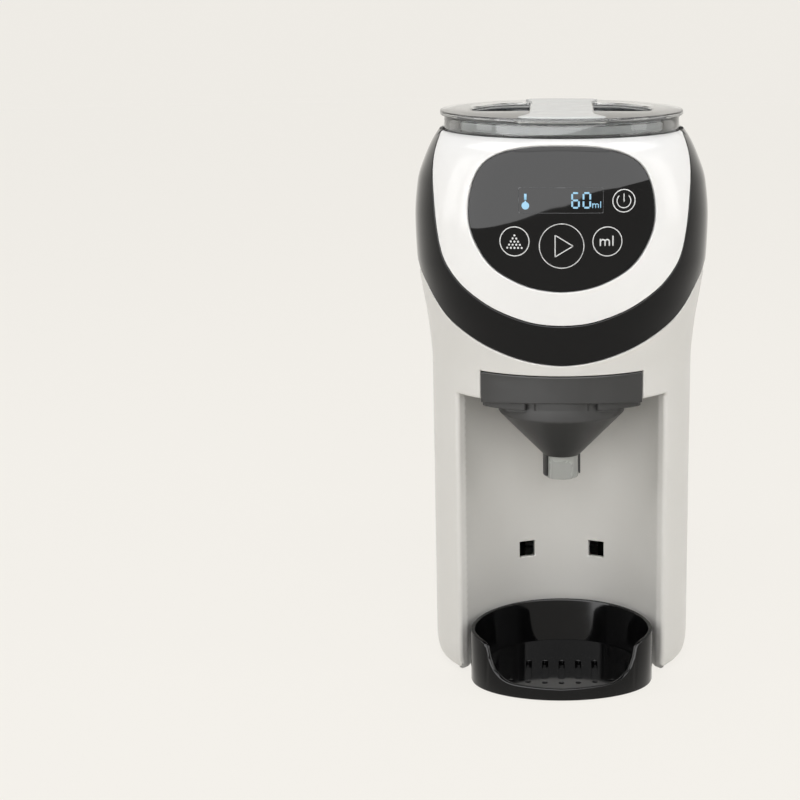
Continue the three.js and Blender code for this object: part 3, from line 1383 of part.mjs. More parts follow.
const [inletHalfX, inletHalfZ] = inletHalf;
const inletDepth = 22;
const inletWall = 2;
const inletWell = 14;
const inletPinRadius = 1.2;
const inletPinX = 4;
const inletPinInset = 3;
function makePowerInlet() {
  const face = tankBack - gap;
  const box = (inset, front, back) => {
    const [x, z] = [inletHalfX - inset, inletHalfZ - inset];
    return block(inletX - x, inletX + x, front, back, inletHeight - z, inletHeight + z);
  };
  const pins = [-inletPinX, inletPinX].map((x) => rodAlongY(inletPinRadius, face - inletWell - gap,
    face - inletPinInset, inletX + x, inletHeight, screwFacets));
  const well = box(inletWall, face - inletWell, face + overrun);
  return join(box(0, face - inletDepth, face).subtract(well), ...pins);
}

const plastic = (color, roughness = 0.35) =>
  new THREE.MeshStandardMaterial({ color, roughness, metalness: 0 });
const metal = (color, roughness = 0.35) =>
  new THREE.MeshStandardMaterial({ color, roughness, metalness: 1 });
const clear = (color, opacity) =>
  new THREE.MeshStandardMaterial({ color, roughness: 0.08, metalness: 0, transparent: true, opacity });
const silver = plastic(0xc9cacc, 0.4);
const white = plastic(0xf1f1f1, 0.22);
const black = plastic(0x0a0a0b, 0.12);
const darkGrey = plastic(0x474747, 0.35);
const rubber = plastic(0x1b1b1c, 0.8);
const silicone = plastic(0xdedcd6, 0.6);
const boardGreen = plastic(0x1f5b34, 0.5);
const steel = metal(0xb4b6b8);
const aluminium = metal(0xa9abad, 0.5);
const frosted = plastic(0x9a9c98, 0.4);
const glassy = clear(0xe8ecee, 0.35);
const nylon = plastic(0xe6e2d6, 0.5);

const pieces = [
  ["front_shell", makeFrontShell, silver], ["rear_shell", makeRearShell, silver],
  ["front_shield", makeShield, white], ["trim_band", makeBand, black], ["top_deck", makeDeck, silver],
  ["base_plate", makeBasePlate, darkGrey], ["panel_cover", makePanelCover, black],
  ["panel_frame", makePanelFrame, black], ["display", makeDisplay, black],
  ["control_board", makeControlBoard, boardGreen], ["container_seat", makeSeat, black],
  ["powder_chute", makeChute, white], ["gear_case", makeGearCase, darkGrey],
  ["gear_cover", makeGearCover, darkGrey], ["drive_motor", makeMotor, steel],
  ["funnel_dock", makeDock, silver], ["water_spout", makeWaterSpout, white],
  ["tank_dock", makeTankDock, darkGrey], ["float_sensor", makeFloatSensor, black],
  ["pump_body", makePumpBody, nylon], ["pump_cover", makePumpCover, nylon],
  ["pump_motor", makePumpMotor, steel], ["heater_block", makeHeater, aluminium],
  ["thermal_cutout", makeCutout, black], ["inlet_hose", makeInletHose, silicone],
  ["heater_hose", makeHeaterHose, silicone], ["spout_hose", makeSpoutHose, silicone],
  ["chassis", makeChassis, darkGrey], ["power_board", makePowerBoard, boardGreen],
  ["power_inlet", makePowerInlet, black], ["drive_gear", makeDriveGear, nylon],
  ["drive_shaft", makeDriveShaft, steel], ["motor_pinion", makePinion, steel],
  ["powder_container", makeContainer, glassy], ["outlet_guard", makeGuard, clear(0xe8ecee, 0.5)],
  ["dosing_wheel", makeDosingWheel, black], ["stirrer", makeStirrer, black],
  ["container_lid", makeLid, glassy], ["lid_seal", makeLidSeal, rubber],
  ["funnel", makeFunnel, darkGrey], ["funnel_cover", makeFunnelCover, darkGrey],
  ["funnel_spout", makeSpout, frosted], ["drip_tray", makeTray, black],
  ["drip_plate", makeDripPlate, black], ["water_tank", makeTank, clear(0xb9c2c8, 0.4)],
  ["tank_lid", makeTankLid, silver], ["valve_body", makeValveBody, nylon],
  ["valve_seal", makeValveSeal, silicone], ["valve_poppet", makePoppet, nylon],
  ["valve_spring", makeSpring, steel], ["tank_float", makeFloat, nylon],
  ["pump_impeller", makeImpeller, nylon],
];

const maker = new THREE.Group();
maker.position.y = headAxisY;
const add = (name, solid, material) => {
  const mesh = new THREE.Mesh(geometryOf(solid), material);
  mesh.name = name;
  maker.add(mesh);
};
for (const [name, make, material] of pieces) add(name, make(), material);
for (const [place, at] of Object.entries(feet)) add("foot_" + place, makeFoot(at), rubber);
for (const [place, at] of Object.entries(screws)) add("base_screw_" + place, makeScrew(at), steel);

export default maker;
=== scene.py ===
"""Baby formula maker: the detailed model, its finishes and its stage, over the CAD frame."""

import math

import bmesh
import bpy
import numpy as np
from bpy.props import FloatProperty, FloatVectorProperty, PointerProperty
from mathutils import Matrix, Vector
from mathutils.geometry import delaunay_2d_cdt


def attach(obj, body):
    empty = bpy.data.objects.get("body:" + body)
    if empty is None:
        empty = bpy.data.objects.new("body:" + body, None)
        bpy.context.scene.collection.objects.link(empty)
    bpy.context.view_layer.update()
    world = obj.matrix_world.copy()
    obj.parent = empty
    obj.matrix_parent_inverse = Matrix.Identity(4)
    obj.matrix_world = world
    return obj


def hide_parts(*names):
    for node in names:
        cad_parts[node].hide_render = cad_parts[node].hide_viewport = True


bl_info = {
    "name": "Baby Formula Maker",
    "version": (1, 0, 0),
    "blender": (4, 5, 0),
    "location": "3D View > Sidebar > Formula Maker",
    "description": "Builds the formula maker's pieces, finishes and stage",
    "category": "Object",
}

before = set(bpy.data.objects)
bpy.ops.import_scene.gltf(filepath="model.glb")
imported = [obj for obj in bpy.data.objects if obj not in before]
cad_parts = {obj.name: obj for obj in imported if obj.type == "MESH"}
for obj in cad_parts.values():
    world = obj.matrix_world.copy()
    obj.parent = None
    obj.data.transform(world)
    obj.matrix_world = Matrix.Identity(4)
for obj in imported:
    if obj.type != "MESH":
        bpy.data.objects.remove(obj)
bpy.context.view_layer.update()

# Sizes repeated from the CAD, in millimetres from the head's vertical axis. The front faces -Y.
MM = 0.001
AXIS_Y = -49.5
HEAD_HALF = 81.2
HEAD_REACH = 77.2
REAR_HALF = 73.1
BODY_TOP = 304.0
COLUMN_BACK = 112.0
CORNER = 7.0
SHELL_BOTTOM = 2.0
HEM_HEIGHT = 12.0
HEM_INSET = 2.4
BAY_ROUND = 2.2
WALL = 2.5
GAP = 0.3
SPLIT_Y = 24.0
HOLE_RADIUS = 65.6
BAY_RADIUS = 55.0
BAY_Y = -54.0
BAY_MOUTH = 57.5
BAY_MOUTH_Y = -45.0
BAY_TOP = 165.0
APRON_LOW = 162.6
HOOKS = (23.0, 60.0)
HOOK_X = 20.0
FUNNEL_Y = -38.0
SKIRT_HALF = 43.9
SKIRT_TOP = 178.3
CUP_RADIUS = 34.5
TANK_BACK = 187.0
TANK_HALF = 70.0
TANK_CORNER = 28.0
TANK_NEAR = 6.0
VALVE_Y = 140.0
FLOAT_PLACE = (46.0, 124.6)
HINGE_Y = 183.4
HINGE_Z = 288.9
OUTLET = 38.0

# Working values: how far the rim is softened, steps between points, and small distances for tests.
RIM_SOFT = 0.9
OUTLINE_STEP = 1.5
LINE_STEP = 2.0
HAIR = 0.05
HIT = 0.01
TOUCH = 1e-3
TINY = 1e-12
FAR = 1e9

# Plan sections: height share, half width, front reach, squareness of the front curve, rear half width.
SECTIONS = np.array((
    (0.0, 0.9, 0.952, 2.0, 0.958), (0.572, 0.903, 0.952, 2.0, 0.958), (0.64, 0.921, 0.967, 2.15, 0.96),
    (0.711, 0.958, 0.988, 2.45, 0.966), (0.78, 0.993, 1.0, 2.65, 0.971), (0.845, 1.0, 1.0, 2.7, 0.971),
    (0.91, 0.98, 0.995, 2.6, 0.96), (0.954, 0.926, 0.984, 2.5, 0.93), (0.982, 0.877, 0.955, 2.3, 0.898),
    (1.0, 0.833, 0.878, 2.0, 0.869),
))
# Outlines in the front view: shares of the head's half width and of the body's height.
SHIELD = (
    (0, 0.678), (0.19, 0.683), (0.389, 0.7), (0.522, 0.718), (0.656, 0.744), (0.725, 0.766),
    (0.772, 0.785), (0.8, 0.808), (0.826, 0.85), (0.842, 0.897), (0.852, 0.935), (0.846, 0.965),
    (0.828, 0.985), (0.812, 1.0),
)
BAND = (
    (0, 0.606), (0.177, 0.611), (0.328, 0.62), (0.518, 0.638), (0.686, 0.663), (0.778, 0.683),
    (0.845, 0.706), (0.899, 0.73), (0.955, 0.755),
)
PANEL = (
    (0, 0.738), (0.188, 0.745), (0.36, 0.764), (0.479, 0.787), (0.558, 0.819), (0.603, 0.85),
    (0.611, 0.884), (0.59, 0.919), (0.544, 0.949), (0.464, 0.97), (0.331, 0.984), (0.174, 0.99), (0, 0.991),
)
# Outlines in the side view: shares of the column's depth and of the body's height.
TAIL = ((0, 0.755), (0.15, 0.77), (0.29, 0.8), (0.41, 0.84), (0.49, 0.89))
DECK = ((0.068, 1.0), (0.08, 0.995), (0.2, 0.955), (0.34, 0.922), (0.49, 0.899), (1.2, 0.893))
TRAY_RIM = (
    (0, 0.233), (0.314, 0.253), (0.583, 0.287), (0.723, 0.433), (0.786, 0.633), (0.819, 0.877),
    (0.88, 0.95), (1, 1),
)


# Skin of the head and column, as a sheet that wraps round the body: u runs round the plan from the front's
# middle and v runs up the side, over the rim and down into the container's hole.
QUARTER = 121.0
SIDE = COLUMN_BACK - CORNER
ELBOW = 11.0
REAR = 63.0
ROUND = QUARTER + SIDE + ELBOW + REAR


def smooth_table(knots, values, at):
    """Values at the given places on a curve through the knots that never overshoots them."""
    step = np.diff(knots)
    rise = np.diff(values) / step
    slope = np.zeros(len(knots))
    for i in range(1, len(knots) - 1):
        before, after = rise[i - 1], rise[i]
        if before * after > 0:
            first = 2 * step[i] + step[i - 1]
            second = step[i] + 2 * step[i - 1]
            slope[i] = (first + second) / (first / before + second / after)
    slope[0], slope[-1] = rise[0], rise[-1]
    i = np.clip(np.searchsorted(knots, at) - 1, 0, len(step) - 1)
    t = (at - knots[i]) / step[i]
    far = 1 - t
    return ((1 + 2 * t) * far * far * values[i] + t * far * far * step[i] * slope[i]
            + t * t * (3 - 2 * t) * values[i + 1] - t * t * far * step[i] * slope[i + 1])


HEIGHT_COUNT = 1217
HEIGHTS = np.linspace(0, BODY_TOP, HEIGHT_COUNT)
SCALES = (HEAD_HALF, HEAD_REACH, 1.0, REAR_HALF)
TABLE = [smooth_table(SECTIONS[:, 0] * BODY_TOP, SECTIONS[:, i + 1] * scale, HEIGHTS)
         for i, scale in enumerate(SCALES)]


def section(z):
    """Half width, front reach, squareness and rear half width at a height."""
    return [np.interp(z, HEIGHTS, column) for column in TABLE]


def plan(u, z):
    """Points of the outer skin: u round the plan, z up."""
    half, reach, square, rear = section(z)
    a = np.mod(np.asarray(u, float) + ROUND, 2 * ROUND) - ROUND
    side = np.where(a < 0, -1.0, 1.0)
    a = np.abs(a)
    turn = np.clip(a / QUARTER, 0, 1) * math.pi / 2
    sin, cos = np.sin(turn), np.maximum(np.cos(turn), 0)
    radius = ((sin / half) ** square + (cos / reach) ** square) ** (-1 / square)
    along = np.clip(a - QUARTER, 0, SIDE)
    ease = (1 + np.cos(math.pi * along / SIDE)) / 2
    bend = np.clip((a - QUARTER - SIDE) / ELBOW, 0, 1) * math.pi / 2
    across = np.clip((a - QUARTER - SIDE - ELBOW) / REAR, 0, 1)
    x = np.where(a < QUARTER, radius * sin, rear + (half - rear) * ease)
    y = np.where(a < QUARTER, -radius * cos, along)
    late = a > QUARTER + SIDE
    x = np.where(late, (rear - CORNER) * (1 - across) + CORNER * np.cos(bend), x)
    y = np.where(late, SIDE + CORNER * np.sin(bend), y)
    return side * x, y


def skin_path(u, v):
    """Point of the skin before the rim is rounded."""
    z = np.minimum(v, BODY_TOP)
    x, y = plan(u, z)
    low = np.clip((HEM_HEIGHT + SHELL_BOTTOM - z) / HEM_HEIGHT, 0, 1)
    draw_in = 1 - HEM_INSET * (1 - np.sqrt(1 - low * low)) / HEAD_REACH
    x, y = x * draw_in, (y - SPLIT_Y) * draw_in + SPLIT_Y
    radius = np.hypot(x, y)
    over = np.clip(v - BODY_TOP, 0, None)
    width = np.maximum(radius - HOLE_RADIUS, 1.0)
    inward = 1 - np.minimum(over, width) / radius
    return np.stack((x * inward, y * inward, z - np.clip(over - width, 0, None)), axis=-1)


def skin_point(u, v):
    """Point of the skin, with the rim rounded."""
    u, v = np.broadcast_arrays(np.asarray(u, float), np.asarray(v, float))
    point = skin_path(u, v)
    near = v > BODY_TOP - 2
    if near.any():
        parts = [skin_path(u[near], v[near] + RIM_SOFT * t) for t in (-1, -0.5, 0, 0.5, 1)]
        point[near] = sum(p * w for p, w in zip(parts, (0.125, 0.25, 0.25, 0.25, 0.125)))
    return point


def skin(inset=0.0):
    """Placing function of the skin, some way below its surface."""
    def place(u, v):
        point = skin_point(u, v)
        across = skin_point(u + HAIR, v) - skin_point(u - HAIR, v)
        up = skin_point(u, v + HAIR) - skin_point(u, v - HAIR)
        normal = unit(np.cross(across, up))
        return point - normal * inset, normal
    return place


def unit(vectors):
    """Vectors of length one."""
    return vectors / np.maximum(np.linalg.norm(vectors, axis=-1, keepdims=True), TINY)


def front_u(x, z):
    """Place round the plan of a point seen from the front."""
    x = np.asarray(x, float)
    half, reach, square, _ = section(np.minimum(z, BODY_TOP))
    share = np.minimum(np.abs(x) / half, 0.99999)
    depth = reach * (1 - share ** square) ** (1 / square)
    return np.sign(x) * np.arctan2(np.abs(x), depth) / (math.pi / 2) * QUARTER


def curve(points, step):
    """Smooth curve through the points, cut into even steps."""
    p = np.asarray(points, float)
    p = np.vstack((2 * p[0] - p[1], p, 2 * p[-1] - p[-2]))
    out = []
    for i in range(1, len(p) - 2):
        count = max(2, int(np.linalg.norm(p[i + 1] - p[i]) / step) + 1)
        t = np.linspace(0, 1, count, endpoint=False)[:, None]
        a, b, c, d = p[i - 1:i + 3]
        out.append(0.5 * (2 * b + (c - a) * t + (2 * a - 5 * b + 4 * c - d) * t * t
                          + (3 * b - a - 3 * c + d) * t ** 3))
    return np.vstack(out + [p[-2:-1]])


def softened(p, reach=6):
    """Outline in the front view with its slight kinks drawn out; it crosses the middle line squarely."""
    head = p[1:reach + 1][::-1] * (-1, 1)
    tail = p[-reach - 1:-1][::-1]
    tail = tail * (-1, 1) if p[-1, 0] == 0 else 2 * p[-1] - tail
    weights = np.hanning(2 * reach + 3)[1:-1]
    long = np.vstack((head, p, tail))
    return np.stack([np.convolve(c, weights / weights.sum(), "valid") for c in long.T], axis=1)


def front_line(shares, step=OUTLINE_STEP):
    """Outline in the front view, as (u, v) on the skin."""
    p = softened(curve(np.array(shares) * (HEAD_HALF, BODY_TOP), step))
    return np.stack((front_u(p[:, 0], p[:, 1]), p[:, 1]), axis=1)


def side_line(shares, step=OUTLINE_STEP):
    """Outline in the side view, as (u, v) on the skin."""
    p = curve(np.array(shares) * (COLUMN_BACK, BODY_TOP), step)
    return p + (QUARTER, 0)


def dense(points, step=OUTLINE_STEP, closed=True):
    """Straight outline with its edges cut into even steps."""
    p = np.asarray(points, float)
    ends = np.roll(p, -1, axis=0) if closed else p[1:]
    out = []
    for a, b in zip(p, ends):
        count = max(1, int(math.ceil(np.linalg.norm(b - a) / step)))
        out.append(a + (b - a) * np.linspace(0, 1, count, endpoint=False)[:, None])
    if not closed:
        out.append(p[-1:])
    return np.vstack(out)


def tidy_loop(loop, hole=False):
    """Loop without repeated points, anticlockwise, or clockwise for a hole."""
    p = np.asarray(loop, float)
    keep = np.linalg.norm(p - np.roll(p, 1, axis=0), axis=1) > 0.02
    p = p[keep]
    q = np.roll(p, -1, axis=0)
    area = np.sum(p[:, 0] * q[:, 1] - q[:, 0] * p[:, 1])
    return p[::-1] if (area < 0) != hole else p


def loop_normals(p):
    """Directions into the material at a loop's points."""
    ahead = unit(np.roll(p, -1, axis=0) - p)
    behind = unit(p - np.roll(p, 1, axis=0))
    along = unit(ahead + behind)
    return np.stack((-along[:, 1], along[:, 0]), axis=1)


def circle(radius, x=0.0, y=0.0, count=96):
    """Points of a circle."""
    turn = np.linspace(0, 2 * math.pi, count, endpoint=False)
    return np.stack((x + radius * np.cos(turn), y + radius * np.sin(turn)), axis=1)


def arc(radius, start, end, x=0.0, y=0.0, count=24):
    """Points of an arc between two angles in degrees."""
    turn = np.radians(np.linspace(start, end, count))
    return np.stack((x + radius * np.cos(turn), y + radius * np.sin(turn)), axis=1)


def inside(points, loops):
    """Whether each point lies inside the outline and outside its holes."""
    x, y = points.T
    flag = np.zeros(len(points), bool)
    for loop in loops:
        for (ax, ay), (bx, by) in zip(loop, np.roll(loop, -1, axis=0)):
            if ay != by:
                flag ^= ((ay > y) != (by > y)) & (x < (bx - ax) * (y - ay) / (by - ay) + ax)
    return flag


def nearest(points, starts, ends):
    """Distance from each point to the nearest edge and the place on it."""
    best = np.full(len(points), FAR)
    foot = np.zeros((len(points), 2))
    for a, b in zip(starts, ends):
        way = b - a
        t = np.clip((points - a) @ way / max(way @ way, TINY), 0, 1)
        place = a + t[:, None] * way
        far = np.hypot(*(points - place).T)
        closer = far < best
        best[closer] = far[closer]
        foot[closer] = place[closer]
    return best, foot


def roll(distance, radius):
    """How far a rounded edge lies below the surface, this far from the edge."""
    near = np.clip(radius - distance, 0, radius)
    return radius - np.sqrt(np.maximum(radius * radius - near * near, 0))


# How the inside of a sheet is filled with points: rings along its edges, then a staggered grid.
RINGS = (0.15, 0.4, 0.75, 1.1, 2.0)  # shares of the edge's rounding
RING_CLEAR = 0.93
ROW_SHARE = 0.87
GRID_CLEAR = 0.35


def fill_points(loops, flags, starts, ends, step, width):
    """Points inside the loops, which are laid closer along their rounded edges."""
    rings = []
    for share in RINGS:
        for loop, flag in zip(loops, flags):
            far = (share * width(loop))[~flag]
            ring = loop[~flag] + loop_normals(loop)[~flag] * far[:, None]
            if len(ring):
                rings.append(ring[nearest(ring, starts, ends)[0] > far * RING_CLEAR])
    edge, ahead = np.vstack(loops), np.vstack([np.roll(loop, -1, axis=0) for loop in loops])
    low, high = edge.min(0), edge.max(0)
    for i, v in enumerate(np.arange(low[1] + step / 2, high[1], step * ROW_SHARE)):
        u = np.arange(low[0] + step / 2 * (i % 2), high[0], step)
        line_points = np.stack((u, np.full(len(u), v)), axis=1)
        line_points = line_points[inside(line_points, loops)]
        far, foot = nearest(line_points, edge, ahead)
        rings.append(line_points[far > RINGS[-1] * width(foot) + GRID_CLEAR * step])
    fill = np.vstack(rings)
    return fill[inside(fill, loops)]


def triangles(loops, fill):
    """Triangles over the loops' points and the fill, without what lies outside the loops."""
    borders = []
    first = 0
    for loop in loops:
        count = len(loop)
        borders += [(first + i, first + (i + 1) % count) for i in range(count)]
        first += count
    points = [Vector(p) for p in np.vstack(loops + [fill])]
    verts, _, faces, *_ = delaunay_2d_cdt(points, borders, [], 0, 1e-6)
    flat = np.array([(p.x, p.y) for p in verts])
    faces = np.array([f for f in faces if len(f) == 3])
    faces = faces[inside(flat[faces].mean(axis=1), loops)]
    used = np.unique(faces)
    index = np.full(len(flat), -1)
    index[used] = np.arange(len(used))
    return flat[used], index[faces]


def walls(faces, count):
    """Faces that close the sheet's edge, between the upper points and the lower ones."""
    edges = {}
    for a, b, c in faces.tolist():
        edges.update({(a, b): True, (b, c): True, (c, a): True})
    return [(j, i, i + count, j + count) for i, j in edges if (j, i) not in edges]


def sheet(loops, place, thick, step=3.0, top=0.6, under=0.2, seam=0.15, plain=None, soft=None):
    """Closed plate with rounded edges, cut to loops in (u, v) and laid where place puts it.

    loops holds the outline and then its holes. place gives points and outward normals. plain says which
    outline points belong to an edge that another sheet continues and so stay sharp. soft says which edges
    are rounded by BAY_ROUND and not by top.
    """
    def width(points):
        """How wide the edge at each point is rounded."""
        return np.where(soft(*points.T), BAY_ROUND, top) if soft else np.full(len(points), top)

    loops = [tidy_loop(loop, i > 0) for i, loop in enumerate(loops)]
    flags = [plain(*loop.T) if plain else np.zeros(len(loop), bool) for loop in loops]
    loops = [loop + loop_normals(loop) * (seam * ~flag)[:, None] for loop, flag in zip(loops, flags)]
    free = [~(flag & np.roll(flag, -1)) for flag in flags]
    starts = np.vstack([loop[on] for loop, on in zip(loops, free)])
    ends = np.vstack([np.roll(loop, -1, axis=0)[on] for loop, on in zip(loops, free)])
    flat, faces = triangles(loops, fill_points(loops, flags, starts, ends, step, width))
    distance, foot = nearest(flat, starts, ends)
    outward = foot - flat
    touching = distance < TOUCH
    if touching.any():
        way = edge_way(flat[touching], starts, ends)
        probe = inside(flat[touching] + way * HAIR, loops)
        outward[touching] = way * np.where(probe, -1, 1)[:, None]
    edge_round = width(foot)
    laid, normal = place(*flat.T)
    aside = unit(place(*(flat + unit(outward) * 0.02).T)[0] - laid)
    sides, tilts = [], []
    for facing, deep, radius in ((1, 0, edge_round), (-1, thick, under)):
        drop = deep + facing * roll(distance, radius)
        lean = np.clip((radius - distance) / radius, 0, 1)[:, None]
        sides.append(laid - normal * drop[:, None])
        tilts.append(unit(facing * normal * np.sqrt(1 - lean ** 2) + aside * lean))
    a, b, c = sides[0][faces[0]]
    if np.dot(np.cross(b - a, c - a), normal[faces[0][0]]) < 0:
        faces = faces[:, ::-1]
    count = len(flat)
    all_faces = faces.tolist() + (faces[:, ::-1] + count).tolist() + walls(faces, count)
    return np.vstack(sides), all_faces, np.vstack(tilts)


def edge_way(points, starts, ends):
    """Direction square to the nearest edge."""
    best = np.full(len(points), FAR)
    out = np.zeros((len(points), 2))
    for a, b in zip(starts, ends):
        way = b - a
        t = np.clip((points - a) @ way / max(way @ way, TINY), 0, 1)
        far = np.hypot(*(points - a - t[:, None] * way).T)
        closer = far < best
        best[closer] = far[closer]
        out[closer] = unit(np.array((way[1], -way[0])))
    return out


def flat_at(z, facing=1):
    """Placing function of a level plane that faces up or down."""
    def place(u, v):
        points = np.stack((u, v, np.full(len(u), float(z))), axis=1)
        return points, np.tile((0.0, 0.0, float(facing)), (len(u), 1))
    return place


def rounded(points, radius, closed=False, steps=4):
    """Outline with its corners rounded."""
    p = np.asarray(points, float)
    count = len(p)
    out = []
    for i in range(count):
        if not closed and i in (0, count - 1):
            out.append(p[i])
            continue
        before, after = p[i - 1] - p[i], p[(i + 1) % count] - p[i]
        near = min(radius, np.linalg.norm(before) * 0.45, np.linalg.norm(after) * 0.45)
        a = p[i] + unit(before) * near
        b = p[i] + unit(after) * near
        for t in np.linspace(0, 1, steps + 1):
            out.append((1 - t) ** 2 * a + 2 * t * (1 - t) * p[i] + t * t * b)
    return np.array(out)


def quads(rows, count, closed=False):
    """Faces between rings of count points each, from every ring to the next one."""
    faces = []
    for i in range(rows if closed else rows - 1):
        j = (i + 1) % rows
        for k in range(count):
            m = (k + 1) % count
            faces.append((i * count + k, i * count + m, j * count + m, j * count + k))
    return faces


def lathe(profile, x=0.0, y=0.0, count=96, radius=0.4, closed=True):
    """Solid turned about an upright axis from a profile of (radius, height)."""
    rings = [level(circle(max(r, 0), x, y, count), z) for r, z in rounded(profile, radius, closed)]
    return np.vstack(rings), quads(len(rings), count, closed), None


def post(radius, low, high, x=0.0, y=0.0, count=48, edge=0.1):
    """Round post, which also serves to cut a round hole."""
    return lathe([(0, low), (radius, low), (radius, high), (0, high)], x, y, count, edge, closed=False)


def tube(inner, outer, low, high, x=0.0, y=0.0, count=96, edge=0.4):
    """Upright tube."""
    return lathe(corners(inner, low, outer, high), x, y, count, edge)


def stack(rings):
    """Solid through rings of points, from the first to the last, with its ends closed."""
    count = len(rings[0])
    last = (len(rings) - 1) * count
    ends = [tuple(range(count))[::-1], tuple(last + k for k in range(count))]
    return np.vstack(rings), quads(len(rings), count) + ends, None


def corners(x0, y0, x1, y1):
    """Corners of a rectangle, anticlockwise."""
    return [(x0, y0), (x1, y0), (x1, y1), (x0, y1)]


def level(outline, z):
    """Outline of (x, y) as points at a height, which may differ from point to point."""
    outline = np.asarray(outline)
    return np.column_stack((outline, np.broadcast_to(z, len(outline))))


def block(low, high, edge=0.4):
    """Box with rounded upright and level edges."""
    (x0, y0, z0), (x1, y1, z1) = low, high
    edge = min(edge, (x1 - x0) * 0.45, (y1 - y0) * 0.45, (z1 - z0) * 0.45)
    soft = edge * 0.3
    rings = []
    for inset, z in ((edge, z0), (soft, z0 + soft), (0, z0 + edge),
                     (0, z1 - edge), (soft, z1 - soft), (edge, z1)):
        plan_loop = corners(x0 + inset, y0 + inset, x1 - inset, y1 - inset)
        rings.append(level(rounded(plan_loop, max(edge - inset, soft), closed=True, steps=3), z))
    return stack(rings)


def row(points):
    """Points in millimetres about the head's axis, in the frame's metres."""
    p = np.array(points, float)
    p[:, 1] += AXIS_Y
    return p * MM


def build(name, parts, look, sharp=35):
    """One object from parts of (points, faces, normals), with the material of that name."""
    points, faces, normals = [], [], []
    first = 0
    for p, f, n in parts:
        points.append(row(p))
        faces += [tuple(i + first for i in face) for face in f]
        normals.append(np.zeros((len(p), 3)) if n is None else n)
        first += len(p)
    mesh = bpy.data.meshes.new(name)
    mesh.from_pydata(np.vstack(points).tolist(), [], faces)
    mesh.validate()
    face_out(mesh, [(len(p), n is None) for p, _, n in parts])
    mesh.polygons.foreach_set("use_smooth", [True] * len(mesh.polygons))
    mesh.set_sharp_from_angle(angle=math.radians(sharp))
    given = np.vstack(normals)
    if given.any():
        corner = np.zeros(len(mesh.loops), int)
        mesh.loops.foreach_get("vertex_index", corner)
        mesh.normals_split_custom_set(given[corner].tolist())
    mesh.materials.append(surface(look))
    return put(name, mesh)


def put(name, data):
    """Object with the data, in the scene."""
    obj = bpy.data.objects.new(name, data)
    bpy.context.scene.collection.objects.link(obj)
    return obj


def face_out(mesh, spans):
    """Turn the faces of the parts without given normals outwards."""
    if not any(turn for _, turn in spans):
        return
    free = np.repeat([turn for _, turn in spans], [count for count, _ in spans])
    bm = bmesh.new()
    bm.from_mesh(mesh)
    faces = [f for f in bm.faces if free[f.verts[0].index]]
    bmesh.ops.recalc_face_normals(bm, faces=faces)
    bm.to_mesh(mesh)
    bm.free()


def combine(name, base, look, adds=(), cuts=(), sharp=30):
    """Object from one part with others joined to it or cut from it."""
    obj = build(name, [base], look, sharp)
    tools = []
    for kind, others in (("UNION", adds), ("DIFFERENCE", cuts)):
        for i, part in enumerate(others):
            tool = build(f"{name}_tool", [part], look)
            tools.append(tool)
            change = obj.modifiers.new(f"{kind.lower()}_{i}", "BOOLEAN")
            change.operation = kind
            change.solver = "EXACT"
            change.object = tool
    bpy.context.view_layer.update()
    seen = obj.evaluated_get(bpy.context.evaluated_depsgraph_get())
    mesh = bpy.data.meshes.new_from_object(seen)
    obj.modifiers.clear()
    obj.data = mesh
    mesh.name = name
    for tool in tools:
        bpy.data.objects.remove(tool)
    bm = bmesh.new()
    bm.from_mesh(mesh)
    bmesh.ops.remove_doubles(bm, verts=bm.verts, dist=1e-6)
    bm.to_mesh(mesh)
    bm.free()
    mesh.polygons.foreach_set("use_smooth", [True] * len(mesh.polygons))
    mesh.set_sharp_from_angle(angle=math.radians(sharp))
    return obj


def place_piece(obj, body, slot, *nodes):
    """Let a piece ride on its body and stand for its nodes. slot is not used."""
    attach(obj, body)
    if nodes:
        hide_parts(*nodes)


def piece(name, parts, look, body, slot, *nodes):
    """Build a piece from its parts and place it."""
    place_piece(build(name, parts, look), body, slot, *nodes)


# Finishes.
GROUPS = {}
FINISHES = {}
MIX_A, MIX_B, MIX_OUT = 6, 7, 2  # colour sockets of a mix node
UNLIT = 0.25  # share of a lit print's colour that shows without its glow
LEAST_ROUGH = 0.02
BUMP = 0.35


def group(name, inputs, outputs):
    """Node group with named sockets and its two end nodes."""
    tree = bpy.data.node_groups.new(name, "ShaderNodeTree")
    for label, value in inputs:
        socket = tree.interface.new_socket(name=label, in_out="INPUT", socket_type="NodeSocketFloat")
        socket.default_value = value
    for label in outputs:
        tree.interface.new_socket(name=label, in_out="OUTPUT", socket_type="NodeSocketFloat")
    return tree, tree.nodes.new("NodeGroupInput"), tree.nodes.new("NodeGroupOutput")


def node(tree, kind, values=(), **settings):
    """Node with its settings and its unlinked socket values."""
    made = tree.nodes.new(kind)
    for key, value in settings.items():
        setattr(made, key, value)
    for key, value in dict(values).items():
        made.inputs[key].default_value = value
    return made


def wire(tree, *links):
    """Join nodes; each link names a node, its output, the next node and its input."""
    for source, output, target, socket in links:
        tree.links.new(source.outputs[output], target.inputs[socket])


def moulded_grain():
    """Fine pebble of moulded plastic and the slow drift of its tone."""
    tree, start, end = group("moulded_grain", (("Scale", 1500.0),), ("Height", "Tone"))
    place = node(tree, "ShaderNodeTexCoord")
    fine = node(tree, "ShaderNodeTexNoise", {"Detail": 2.0, "Roughness": 0.55})
    slow = node(tree, "ShaderNodeTexNoise", {"Scale": 14.0, "Detail": 3.0, "Roughness": 0.5})
    wire(tree, (place, "Object", fine, "Vector"), (place, "Object", slow, "Vector"),
         (start, "Scale", fine, "Scale"), (fine, "Fac", end, "Height"), (slow, "Fac", end, "Tone"))
    return tree


